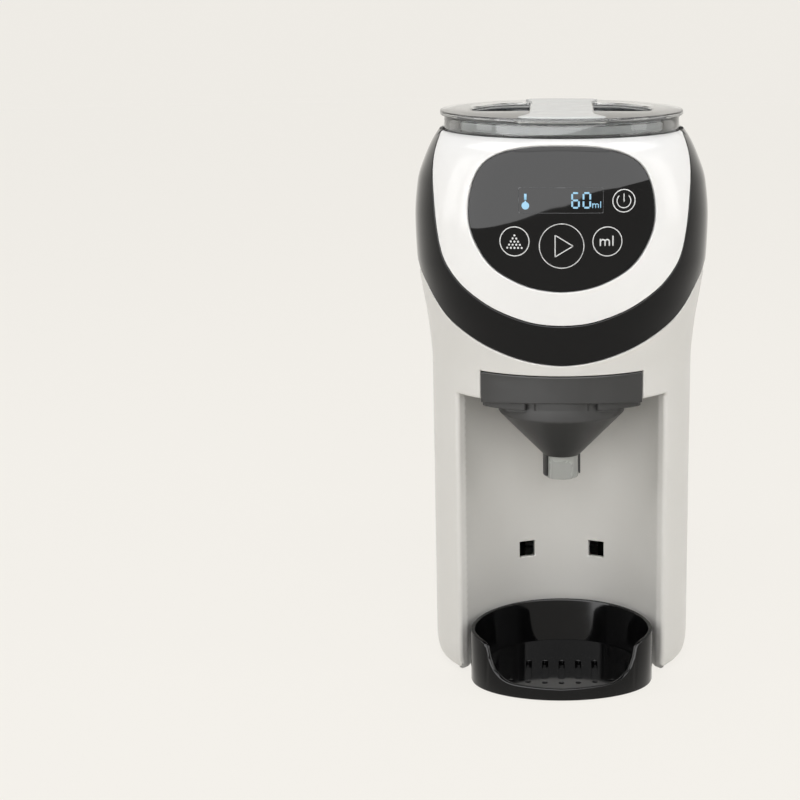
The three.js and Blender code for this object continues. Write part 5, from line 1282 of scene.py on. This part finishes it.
def well_outline(side, offset):
    """Plan of a finger well in the lid."""
    inner, radius = WELL_INNER - offset, WELL_RADIUS + offset
    y = np.linspace(WELL_FRONT - offset, WELL_BACK + offset, 24)
    rim = np.stack((np.maximum(np.sqrt(np.maximum(radius ** 2 - y ** 2, 0)), inner + WALL), y), axis=1)
    outline = np.vstack(([(inner, y[0])], rim, [(inner, y[-1])]))
    outline = rounded(outline, WELL_CORNER, closed=True, steps=2)
    return outline if side > 0 else outline[::-1] * (-1, 1)


def wells(rings):
    """Solids through the given rings of both finger wells."""
    return [stack([level(well_outline(side, offset), z) for offset, z in rings]) for side in (-1, 1)]


def ring_arcs(places, radii, count, edge):
    """Level arcs in the gap of the lid's rim, each with its middle's angle, half sweep, top and depth."""
    parts = []
    for turn, reach, top, deep in places:
        ends = (turn - reach, turn + reach)
        outline = np.vstack((arc(radii[0], *ends, count=count), arc(radii[1], *ends[::-1], count=count)))
        parts.append(sheet([dense(outline, 1.2)], flat_at(top), deep, 1.0, edge, edge, seam=0.0))
    return parts


def lid():
    """Clear lid with two finger wells, the bar between them, the lock lugs and the seal."""
    obj = combine("container_lid_plate", post(*LID_PLATE, count=128, edge=0.9), "clear_plastic",
                  adds=[tube(*LID_PLUG, count=128)] + wells(WELL_CUP), cuts=wells(WELL_HOLLOW))
    # The finger wells' faces take the darker material: painted shade in the wells.
    obj.data.materials.append(surface("smoky_plastic"))
    for face in obj.data.polygons:
        x, y, z = face.center
        if z < WELL_SHADE_BELOW * MM and math.hypot(x, y - AXIS_Y * MM) < WELL_SHADE_WITHIN * MM:
            face.material_index = 1
    place_piece(obj, "lid", "clear_plastic", "container_lid")
    y = np.linspace(-BAR_END, BAR_END, 60)
    flare = (BAR_HALF + BAR_FLARE_FRONT * np.clip((np.abs(y) - 30) / 29, 0, 1) ** 2 * (y < 0)
             + BAR_FLARE_BACK * np.clip((y - 42) / 17, 0, 1))
    ends = np.vstack((arc(BAR_RADIUS, -90, -69, count=10), np.stack((flare, y), axis=1),
                      arc(BAR_RADIUS, 71, 90, count=10)))
    bar_top = sheet([both(ends)], flat_at(BAR_TOP), 0.9, 3.0, 0.5, 0.05)
    piece("lid_grip_bar", [bar_top], "grip_plastic", "lid", "clear_plastic")
    piece("lid_lock_lugs", ring_arcs(LUGS, LUG_RING, 40, 0.2), "black_matte", "lid", "black_matte")
    piece("lid_seal_ring", ring_arcs(SEALS, SEAL_RING, 70, 0.3), "clear_rubber", "lid", "rubber", "lid_seal")


# Funnel: skirt, lips under it as (start, end, inset, height), shoulder plate, cup and neck, cover and spout.
SKIRT_LOW, SKIRT_DIP, SKIRT_WALL = BAY_TOP - 1.4, 2.4, 2.2
FUNNEL_INSET = 1.1
LIPS = ((-41.8, 41.8, 2.4, 161.4), (-42.8, -19.0, 1.2, 158.7), (-14.7, 14.7, 1.2, 158.7),
        (19.0, 42.8, 1.2, 158.7), (-30.5, -19.0, 2.6, 157.0), (19.0, 30.5, 2.6, 157.0))
LIP_STEP = 1.4
PLATE_HALF, PLATE_BACK, PLATE_TOP, PLATE_HOLE, PLATE_LEVEL = 43.3, -3, 170.3, 33.5, 169
CUP_PROFILE = ((10.4, 127.4), (10.4, 127.5), (35, 153), (34.5, 159.5), (34.5, 176.5), (32.5, 176.5),
               (32.5, 159.5), (33, 154), (9.6, 129.5), (9.6, 127.4))
SLEEVE_RADII, SLEEVE_TURN, SLEEVE_TOP, SLEEVE_DEEP = (10.4, 9.6), 217, 128.0, 12.5
COVER_HOLES = ((34.2, 0, FUNNEL_Y, 100), (12, 0, FUNNEL_Y, 40), (4, 20, -30, 20))
COVER_TOP, COVER_THICK = 178.0, 1.2
SPOUT_TUBE = (7.4, 9.3, 114.3, 129.5)


def skirt():
    """Funnel's skirt on the skin, with its lower edge dipping to its ends."""
    x = np.linspace(0, SKIRT_HALF, 30)
    z = SKIRT_LOW - SKIRT_DIP * (x / SKIRT_HALF) ** 2
    right = np.vstack((
        np.stack((front_u(x, z), z), axis=1), upright(SKIRT_HALF, SKIRT_LOW - SKIRT_DIP, SKIRT_TOP)[1:],
        line((front_u(SKIRT_HALF, SKIRT_TOP), SKIRT_TOP), (0, SKIRT_TOP))))
    return sheet([both(right)], skin(), SKIRT_WALL, 2.5, sizes()[1], seam=0.0)


def lip(start, end, inset, z):
    """Step under the skirt that follows the front from one place to another."""
    front = front_curve(np.linspace(start, end, int((end - start) / LIP_STEP)), z, FUNNEL_INSET + inset)
    outline = dense(np.vstack((front, [(end, FUNNEL_Y), (start, FUNNEL_Y)])), LINE_STEP)
    return sheet([outline], flat_at(z, -1), BAY_TOP - GAP - z, 3.0, 0.5, 0.1, seam=0.0)


def funnel():
    """Dark grey mixing funnel: skirt, stepped lips, shoulder, cup, cone and neck, with its cover."""
    parts = [skirt()] + [lip(*values) for values in LIPS]
    front = front_curve(np.linspace(-PLATE_HALF, PLATE_HALF, 60), PLATE_LEVEL, FUNNEL_INSET)
    plate = dense(np.vstack((front, [(PLATE_HALF, PLATE_BACK), (-PLATE_HALF, PLATE_BACK)])), 2.5)
    hole = circle(PLATE_HOLE, 0, FUNNEL_Y, 90)
    parts.append(sheet([plate, hole], flat_at(PLATE_TOP), 2.5, 3.0, 0.4, seam=0.0))
    parts.append(lathe(CUP_PROFILE, 0, FUNNEL_Y, 128, 0.8))
    outer, inner = SLEEVE_RADII
    sleeve = np.vstack((
        arc(outer, 0, SLEEVE_TURN, 0, FUNNEL_Y, 60), arc(inner, SLEEVE_TURN, 0, 0, FUNNEL_Y, 60)))
    parts.append(sheet([sleeve], flat_at(SLEEVE_TOP), SLEEVE_DEEP, 2.0, 0.2, 0.2, seam=0.0))
    piece("funnel_bowl", parts, "dark_grey", "mixer", "dark_grey", "funnel")
    cover = sheet([circle(*hole) for hole in COVER_HOLES], flat_at(COVER_TOP), COVER_THICK, 3.0, 0.4)
    piece("funnel_cover_disc", [cover], "dark_grey", "mixer", "dark_grey", "funnel_cover")
    spout = tube(*SPOUT_TUBE, 0, FUNNEL_Y, 72, 0.5)
    piece("funnel_spout_tube", [spout], "frosted_spout", "mixer", "frosted_spout", "funnel_spout")


# Drip tray: rings of its section as (inset, height), or as (inset, drop below the rim), and its drain plate.
TRAY_HALF, TRAY_REACH, TRAY_HEIGHT = 50.9, 34.0, 30.0
TRAY_FOOT = ((1.4, 0.0), (0.4, 0.35), (0, 1.3))
TRAY_EDGE = ((0, 0.8), (0.25, 0.2), (0.8, 0), (1.7, 0), (2.25, 0.2), (2.5, 0.8))
TRAY_WELL = ((2.5, 4.2), (2.9, 3.3), (3.9, 3.0))
TRAY_HOOK = (4, (-8.2, 20), (3.5, 26))
DRAIN_PITCH = 9.3
DRAINS, DRAIN_RADIUS, DRAIN_REACH, DRAIN_HALF = 7, 1.2, 20, TRAY_HALF - 14 / 3
SLOTS, SLOT_RADIUS, SLOT_HALF = 5, 1.5, 12.5
DRIP_INSET, DRIP_TOP, DRIP_THICK = 2.8, 5.3, 2.0


def tray_outline(inset):
    """Plan of the drip tray: round at the back, elliptic in front."""
    turn = np.linspace(0, 2 * math.pi, 144, endpoint=False)
    reach = np.where(np.sin(turn) < 0, TRAY_REACH, TRAY_HALF) - inset
    return np.stack((np.cos(turn) * (TRAY_HALF - inset), BAY_Y + np.sin(turn) * reach), axis=1)


def plate_places(count):
    """Evenly spaced places about the middle of the drain plate."""
    return (np.arange(count) - count // 2) * DRAIN_PITCH


def drip_tray():
    """Gloss black drip tray with its swept rim, hooks and drain plate."""
    rim_curve = curve(TRAY_RIM, 0.05)
    outer = tray_outline(0)
    swept = np.interp(np.abs(outer[:, 0]) / TRAY_HALF, rim_curve[:, 0], rim_curve[:, 1]) * TRAY_HEIGHT
    rim = np.where(outer[:, 1] < BAY_Y, np.minimum(swept, TRAY_HEIGHT), TRAY_HEIGHT)
    heights = ([(inset, z) for inset, z in TRAY_FOOT] + [(inset, rim - drop) for inset, drop in TRAY_EDGE]
               + [(inset, z) for inset, z in TRAY_WELL])
    parts = [stack([level(tray_outline(inset), z) for inset, z in heights])]
    half, low, high = TRAY_HOOK
    parts += [block((s * HOOK_X - half, *low), (s * HOOK_X + half, *high), 0.8) for s in (-1, 1)]
    piece("drip_tray_bowl", parts, "black_gloss", "tray", "black_gloss", "drip_tray")
    x = plate_places(DRAINS)
    y = BAY_Y - DRAIN_REACH * np.sqrt(1 - (x / DRAIN_HALF) ** 2)
    holes = [circle(DRAIN_RADIUS, a, b, 20) for a, b in zip(x, y)]
    for a in plate_places(SLOTS):
        ends = (arc(SLOT_RADIUS, 180, 360, a, BAY_Y - SLOT_HALF, 8),
                arc(SLOT_RADIUS, 0, 180, a, BAY_Y + SLOT_HALF, 8))
        holes.append(dense(np.vstack(ends), LINE_STEP))
    plate = sheet([tray_outline(DRIP_INSET)] + holes, flat_at(DRIP_TOP), DRIP_THICK, 3.0, 0.4)
    piece("drip_plate_disc", [plate], "black_gloss", "plate", "black_gloss", "drip_plate")


# Water tank: rings of its section as (inset, height), its lid's hinge and its float.
TANK_RINGS = ((4, 26.3), (1.2, 27.1), (0.3, 28.6), (0, 30.5), (0, 285.2), (0.5, 286), (1.7, 286),
              (2.2, 285.2), (2.2, 32), (2.7, 30), (4, 29), (6, 28.8))
EAR_X, EAR_WIDTH, EAR_LOW, EAR_HIGH = (-34, 30), 4, (179.4, 274), (187, 292.4)
GUIDE_PROFILE = ((0, 28), (2.5, 28), (2.5, 62.8), (4, 62.8), (4, 64.8), (0, 64.8))
TANK_HOLE = (8.9, 20, 40)
NOTCH = (35, 175.4, 29)
TANK_LID_TOP, TANK_LID_DEEP = 291, 4.7
HINGE_RODS = ((2.6, 29), (2.0, 34))
FLOAT_RING = (3.1, 10, 29.1, 41.1)


def tank_outline(inset):
    """Plan of the water tank."""
    half, front, back = TANK_HALF - inset, COLUMN_BACK + 2 * GAP + inset, TANK_BACK - inset
    rear, near = TANK_CORNER - inset, TANK_NEAR - inset
    return both(np.vstack((arc(near, -90, 0, half - near, front + near, 10),
                           arc(rear, 0, 90, half - rear, back - rear, 24))))


def hinge_rod(radius, half):
    """Round bar along X on the hinge of the tank's lid."""
    edge = min(0.4, radius / 3)
    ring = circle(1.0, count=40)
    return stack([np.column_stack((np.full(len(ring), x), HINGE_Y + ring[:, 0] * r, HINGE_Z + ring[:, 1] * r))
                  for x, r in ((-half, radius - edge), (edge - half, radius), (half - edge, radius),
                               (half, radius - edge))])


def tank_lid_loop():
    """Plan of the tank's lid: the tank's as far as the hinge, with a notch for each ear."""
    outline = tank_outline(0)
    outline = outline[outline[:, 1] < HINGE_Y - 0.1]
    edge = TANK_HALF - TANK_CORNER + math.sqrt(TANK_CORNER ** 2 - (HINGE_Y - TANK_BACK + TANK_CORNER) ** 2)
    half = len(outline) // 2
    outer, deep, inner = NOTCH
    notch = [(edge, HINGE_Y), (outer, HINGE_Y), (outer, deep), (inner, deep), (inner, HINGE_Y)]
    return np.vstack((outline[:half], notch, [(-x, y) for x, y in notch[::-1]], outline[half:]))


def water_tank():
    """Clear water tank with its hinged lid and float, and the hole for the valve."""
    ears = [block((x, *EAR_LOW), (x + EAR_WIDTH, *EAR_HIGH), 1.2) for x in EAR_X]
    guide = lathe(GUIDE_PROFILE, *FLOAT_PLACE, closed=False, count=40)
    body = stack([level(tank_outline(inset), z) for inset, z in TANK_RINGS])
    tank = combine("water_tank_wall", body, "tank_plastic", adds=ears + [guide],
                   cuts=[post(*TANK_HOLE, 0, VALVE_Y)])
    place_piece(tank, "tank", "tank_plastic", "water_tank")
    cover = sheet([dense(tank_lid_loop(), LINE_STEP)], flat_at(TANK_LID_TOP), TANK_LID_DEEP, 3.5, 1.1, 0.4,
                  seam=0.0)
    parts = [cover] + [hinge_rod(*rod) for rod in HINGE_RODS]
    piece("tank_lid_plate", parts, "silver_shell", "tank_cover", "silver_shell", "tank_lid")
    ring = tube(*FLOAT_RING, *FLOAT_PLACE, 48, 1.0)
    piece("tank_float_ring", [ring], "nylon", "float", "nylon", "tank_float")


FOOT_PROFILE = ((0, 0), (6.4, 0), (7, 0.7), (7, 2.7), (3, 2.7), (3, 5.5), (0, 5.5))
FEET = {"front_left": (-60, -15), "front_right": (60, -15), "rear_left": (-36, 168), "rear_right": (36, 168)}


def feet():
    """Rubber feet."""
    for name, place in FEET.items():
        part = lathe(FOOT_PROFILE, *place, 40, 0.3, closed=False)
        piece(f"foot_{name}_pad", [part], "rubber", "root", "rubber", f"foot_{name}")


# CAD nodes that stay, by their finish.
CARRIED = {
    "dark_grey": ("base_plate", "gear_case", "gear_cover", "tank_dock", "chassis"),
    "black_matte": ("panel_frame", "display", "float_sensor", "thermal_cutout", "power_inlet"),
    "board_green": ("control_board", "power_board"),
    "nylon": ("powder_chute", "water_spout", "pump_body", "pump_cover", "pump_impeller", "drive_gear",
              "valve_body", "valve_poppet"),
    "steel": ("drive_motor", "motor_pinion", "drive_shaft", "pump_motor", "valve_spring",
              "base_screw_front_left", "base_screw_front_right", "base_screw_rear_left",
              "base_screw_rear_right"),
    "silver_shell": ("funnel_dock",),
    "aluminium": ("heater_block",),
    "silicone": ("inlet_hose", "heater_hose", "spout_hose", "valve_seal"),
}


def inner_machine():
    """Finishes for the CAD nodes that stay."""
    for look, names in CARRIED.items():
        for name in names:
            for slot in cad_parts[name].material_slots:
                slot.material = surface(look)


# Outline of the reflector card in front, as (x, z) in metres at CARD_Y. Its lower edge shows in the panel.
CARD_Y = -1.25
CARD = ((-2.6, -0.08), (-1.24, 0.045), (-0.51, 0.134), (0.0, 0.178), (0.17, 0.22), (0.585, 0.318),
        (1.43, 0.594), (1.9, 0.75), (1.9, 2.25), (-2.6, 2.25))

# Round floor and backdrop, in metres, and the share of the floor's own glow.
FLOOR_DROP = -0.0005
FLOOR_SIDES = 96
FLOOR_RADIUS, SWEEP_RADIUS, BACKDROP_TOP = 4.0, 1.0, 4.0
FLOOR_LIGHT = 0.92

# Lamps by name: place, height aimed at, size, power as a share of its setting, whether it lights and shines.
LAMPS = {
    "softbox_front": ((0.0, -1.5, 0.95), 0.2, (1.6, 1.0), 1, True, False),
    "softbox_left": ((-1.3, -0.3, 0.7), 0.15, (0.5, 1.1), 0.4, True, True),
    "softbox_right": ((1.3, -0.3, 0.7), 0.15, (0.5, 1.1), 0.4, True, True),
    "softbox_top": ((0.0, 0.0, 1.6), 0.2, (1.4, 1.4), 0.6, True, True),
    "reflector_top": ((0.0, 0.0, 2.3), 0, (3.2, 2.7), 15.0, False, True),
}
CAMERA_PLACE = (0.0, -1.1095, 0.401)
CAMERA_DOWN = 13.4
CAMERA_SHIFT = -0.202


def staged(name, points, faces, material):
    """Object of the stage, with its points in metres."""
    mesh = bpy.data.meshes.new(name)
    mesh.from_pydata(points, [], faces)
    mesh.materials.append(material)
    obj = put(name, mesh)
    return obj


def gleam_card(strength):
    """Reflector card that only the gloss of the pieces shows."""
    made, tree, out = blank("stage_card")
    wire(tree, (node(tree, "ShaderNodeEmission", {"Strength": strength}), "Emission", out, "Surface"))
    card = staged("stage_card", [(x, CARD_Y, z) for x, z in CARD], [tuple(range(len(CARD)))], made)
    for rays in ("camera", "diffuse", "transmission", "volume_scatter", "shadow"):
        setattr(card, f"visible_{rays}", False)


def floor_finish(colour):
    """Matt floor. Seen straight, in gloss or through glass it is mostly an even glow of its own colour."""
    made, tree, out = blank("stage_floor")
    matt = node(tree, "ShaderNodeBsdfDiffuse", {"Color": colour})
    lit = node(tree, "ShaderNodeEmission", {"Color": colour, "Strength": 1.0})
    path = node(tree, "ShaderNodeLightPath")
    seen = node(tree, "ShaderNodeMath", operation="MAXIMUM")
    seen_any = node(tree, "ShaderNodeMath", operation="MAXIMUM")
    keep = node(tree, "ShaderNodeMath", {1: FLOOR_LIGHT}, operation="MULTIPLY")
    mix = node(tree, "ShaderNodeMixShader")
    wire(tree, (path, "Is Camera Ray", seen, 0), (path, "Is Glossy Ray", seen, 1),
         (seen, "Value", seen_any, 0), (path, "Is Transmission Ray", seen_any, 1),
         (seen_any, "Value", keep, 0), (keep, "Value", mix, "Fac"),
         (matt, "BSDF", mix, 1), (lit, "Emission", mix, 2), (mix, "Shader", out, "Surface"))
    return made


def ground(colour):
    """Round floor that sweeps up into the backdrop on all sides."""
    bend = np.radians(np.linspace(0, 90, 16))
    sweep = np.stack((FLOOR_RADIUS + np.sin(bend) * SWEEP_RADIUS, (1 - np.cos(bend)) * SWEEP_RADIUS), axis=1)
    rings = [level(circle(radius, count=FLOOR_SIDES), z)
             for radius, z in [*sweep, (FLOOR_RADIUS + SWEEP_RADIUS, BACKDROP_TOP)]]
    sides = quads(len(rings), FLOOR_SIDES)
    floor = staged("stage_floor", np.vstack(rings).tolist(), [tuple(range(FLOOR_SIDES))] + sides,
                   floor_finish(colour))
    floor.data.polygons.foreach_set("use_smooth", [False] + [True] * len(sides))
    floor.location.z = FLOOR_DROP


def stage():
    """Pale floor, soft lamps, surroundings and camera."""
    scene = bpy.context.scene
    chosen = scene.maker_stage
    ground(tuple(chosen.floor) + (1.0,))
    world = bpy.data.worlds.new("surroundings")
    world.use_nodes = True
    back = world.node_tree.nodes["Background"]
    back.inputs["Color"].default_value = (1.0, 1.0, 1.0, 1.0)
    back.inputs["Strength"].default_value = chosen.world
    scene.world = world
    for name, (at, aim, size, share, lights, shows) in LAMPS.items():
        lamp = bpy.data.lights.new(name, "AREA")
        lamp.shape = "RECTANGLE"
        lamp.size, lamp.size_y = size
        lamp.energy = share * (chosen.key if lights else chosen.gleam)
        obj = put(name, lamp)
        obj.location = at
        obj.rotation_euler = (Vector((0, 0, aim)) - Vector(at)).to_track_quat("-Z", "Y").to_euler()
        obj.visible_camera = False
        obj.visible_diffuse = lights
        obj.visible_glossy = shows
        obj.visible_transmission = lights
    gleam_card(chosen.gleam)
    camera = bpy.data.cameras.new("camera")
    camera.lens = chosen.lens
    camera.sensor_width = 36.0
    camera.shift_x = CAMERA_SHIFT
    camera.clip_end = 60.0
    eye = put("camera", camera)
    eye.location = CAMERA_PLACE
    eye.rotation_euler = (math.radians(90 - CAMERA_DOWN), 0, 0)
    scene.camera = eye
    scene.view_settings.view_transform = "Standard"


# Operators, panel and registration.
class MAKER_OT_front_shell(bpy.types.Operator):
    """Silver front of the column with the filling bay"""

    bl_idname = "maker.front_shell"
    bl_label = "Front Shell"
    bl_options = {"REGISTER", "UNDO"}

    def execute(self, context):
        front_shell()
        return {"FINISHED"}


class MAKER_OT_rear_shell(bpy.types.Operator):
    """Silver rear of the column with the tank's ledge"""

    bl_idname = "maker.rear_shell"
    bl_label = "Rear Shell"
    bl_options = {"REGISTER", "UNDO"}

    def execute(self, context):
        rear_shell()
        return {"FINISHED"}


class MAKER_OT_top_deck(bpy.types.Operator):
    """Silver deck behind the container's neck"""

    bl_idname = "maker.top_deck"
    bl_label = "Top Deck"
    bl_options = {"REGISTER", "UNDO"}

    def execute(self, context):
        top_deck()
        return {"FINISHED"}


class MAKER_OT_shield(bpy.types.Operator):
    """Gloss white shield round the control panel"""

    bl_idname = "maker.shield"
    bl_label = "Front Shield"
    bl_options = {"REGISTER", "UNDO"}

    def execute(self, context):
        shield()
        return {"FINISHED"}


class MAKER_OT_band(bpy.types.Operator):
    """Gloss black band that sweeps round the head"""

    bl_idname = "maker.band"
    bl_label = "Trim Band"
    bl_options = {"REGISTER", "UNDO"}

    def execute(self, context):
        band()
        return {"FINISHED"}


class MAKER_OT_control_panel(bpy.types.Operator):
    """Black panel with its icons and lit display"""

    bl_idname = "maker.control_panel"
    bl_label = "Control Panel"
    bl_options = {"REGISTER", "UNDO"}

    def execute(self, context):
        control_panel()
        return {"FINISHED"}


class MAKER_OT_container_seat(bpy.types.Operator):
    """Black cup that holds the powder container"""

    bl_idname = "maker.container_seat"
    bl_label = "Container Seat"
    bl_options = {"REGISTER", "UNDO"}

    def execute(self, context):
        container_seat()
        return {"FINISHED"}


class MAKER_OT_container(bpy.types.Operator):
    """Clear powder container and the guard over its outlet"""

    bl_idname = "maker.container"
    bl_label = "Powder Container"
    bl_options = {"REGISTER", "UNDO"}

    def execute(self, context):
        container()
        return {"FINISHED"}


class MAKER_OT_dosing(bpy.types.Operator):
    """Dosing wheel and stirrer"""

    bl_idname = "maker.dosing"
    bl_label = "Dosing Wheel"
    bl_options = {"REGISTER", "UNDO"}

    def execute(self, context):
        dosing()
        return {"FINISHED"}


class MAKER_OT_lid(bpy.types.Operator):
    """Clear lid with its grip bar and seal"""

    bl_idname = "maker.lid"
    bl_label = "Container Lid"
    bl_options = {"REGISTER", "UNDO"}

    def execute(self, context):
        lid()
        return {"FINISHED"}


class MAKER_OT_funnel(bpy.types.Operator):
    """Dark grey funnel with its cover and spout"""

    bl_idname = "maker.funnel"
    bl_label = "Mixing Funnel"
    bl_options = {"REGISTER", "UNDO"}

    def execute(self, context):
        funnel()
        return {"FINISHED"}


class MAKER_OT_drip_tray(bpy.types.Operator):
    """Gloss black drip tray and its plate"""

    bl_idname = "maker.drip_tray"
    bl_label = "Drip Tray"
    bl_options = {"REGISTER", "UNDO"}

    def execute(self, context):
        drip_tray()
        return {"FINISHED"}


class MAKER_OT_water_tank(bpy.types.Operator):
    """Clear water tank with its lid and float"""

    bl_idname = "maker.water_tank"
    bl_label = "Water Tank"
    bl_options = {"REGISTER", "UNDO"}

    def execute(self, context):
        water_tank()
        return {"FINISHED"}


class MAKER_OT_feet(bpy.types.Operator):
    """Rubber feet under the base"""

    bl_idname = "maker.feet"
    bl_label = "Feet"
    bl_options = {"REGISTER", "UNDO"}

    def execute(self, context):
        feet()
        return {"FINISHED"}


class MAKER_OT_inner_machine(bpy.types.Operator):
    """Finishes of the pieces inside that come from the CAD"""

    bl_idname = "maker.inner_machine"
    bl_label = "Inner Machine"
    bl_options = {"REGISTER", "UNDO"}

    def execute(self, context):
        inner_machine()
        return {"FINISHED"}


class MAKER_OT_stage(bpy.types.Operator):
    """Floor, lamps, surroundings and camera"""

    bl_idname = "maker.stage"
    bl_label = "Stage"
    bl_options = {"REGISTER", "UNDO"}

    def execute(self, context):
        stage()
        return {"FINISHED"}


OPERATORS = (
    MAKER_OT_front_shell,
    MAKER_OT_rear_shell,
    MAKER_OT_top_deck,
    MAKER_OT_shield,
    MAKER_OT_band,
    MAKER_OT_control_panel,
    MAKER_OT_container_seat,
    MAKER_OT_container,
    MAKER_OT_dosing,
    MAKER_OT_lid,
    MAKER_OT_funnel,
    MAKER_OT_drip_tray,
    MAKER_OT_water_tank,
    MAKER_OT_feet,
    MAKER_OT_inner_machine,
    MAKER_OT_stage,
)


class MAKER_PT_sidebar(bpy.types.Panel):
    """Formula maker's pieces and settings"""

    bl_idname = "MAKER_PT_sidebar"
    bl_label = "Formula Maker"
    bl_space_type = "VIEW_3D"
    bl_region_type = "UI"
    bl_category = "Formula Maker"

    def draw(self, context):
        layout = self.layout
        for operator in OPERATORS:
            layout.operator(operator.bl_idname)
        for settings in (context.scene.maker_finishes, context.scene.maker_sizes, context.scene.maker_stage):
            box = layout.box()
            for key in settings.__annotations__:
                box.prop(settings, key)


CLASSES = (MakerFinishes, MakerSizes, MakerStage) + OPERATORS + (MAKER_PT_sidebar,)


def register():
    """Register the classes and hang the settings on the scene."""
    for cls in CLASSES:
        bpy.utils.register_class(cls)
    bpy.types.Scene.maker_finishes = PointerProperty(type=MakerFinishes)
    bpy.types.Scene.maker_sizes = PointerProperty(type=MakerSizes)
    bpy.types.Scene.maker_stage = PointerProperty(type=MakerStage)


def unregister():
    """Take the settings off the scene and the classes out."""
    del bpy.types.Scene.maker_stage
    del bpy.types.Scene.maker_sizes
    del bpy.types.Scene.maker_finishes
    for cls in reversed(CLASSES):
        bpy.utils.unregister_class(cls)


def main():
    """Build every piece and the stage."""
    register()
    for operator in OPERATORS:
        getattr(bpy.ops.maker, operator.bl_idname.split(".")[1])()


if __name__ == "__main__":
    main()
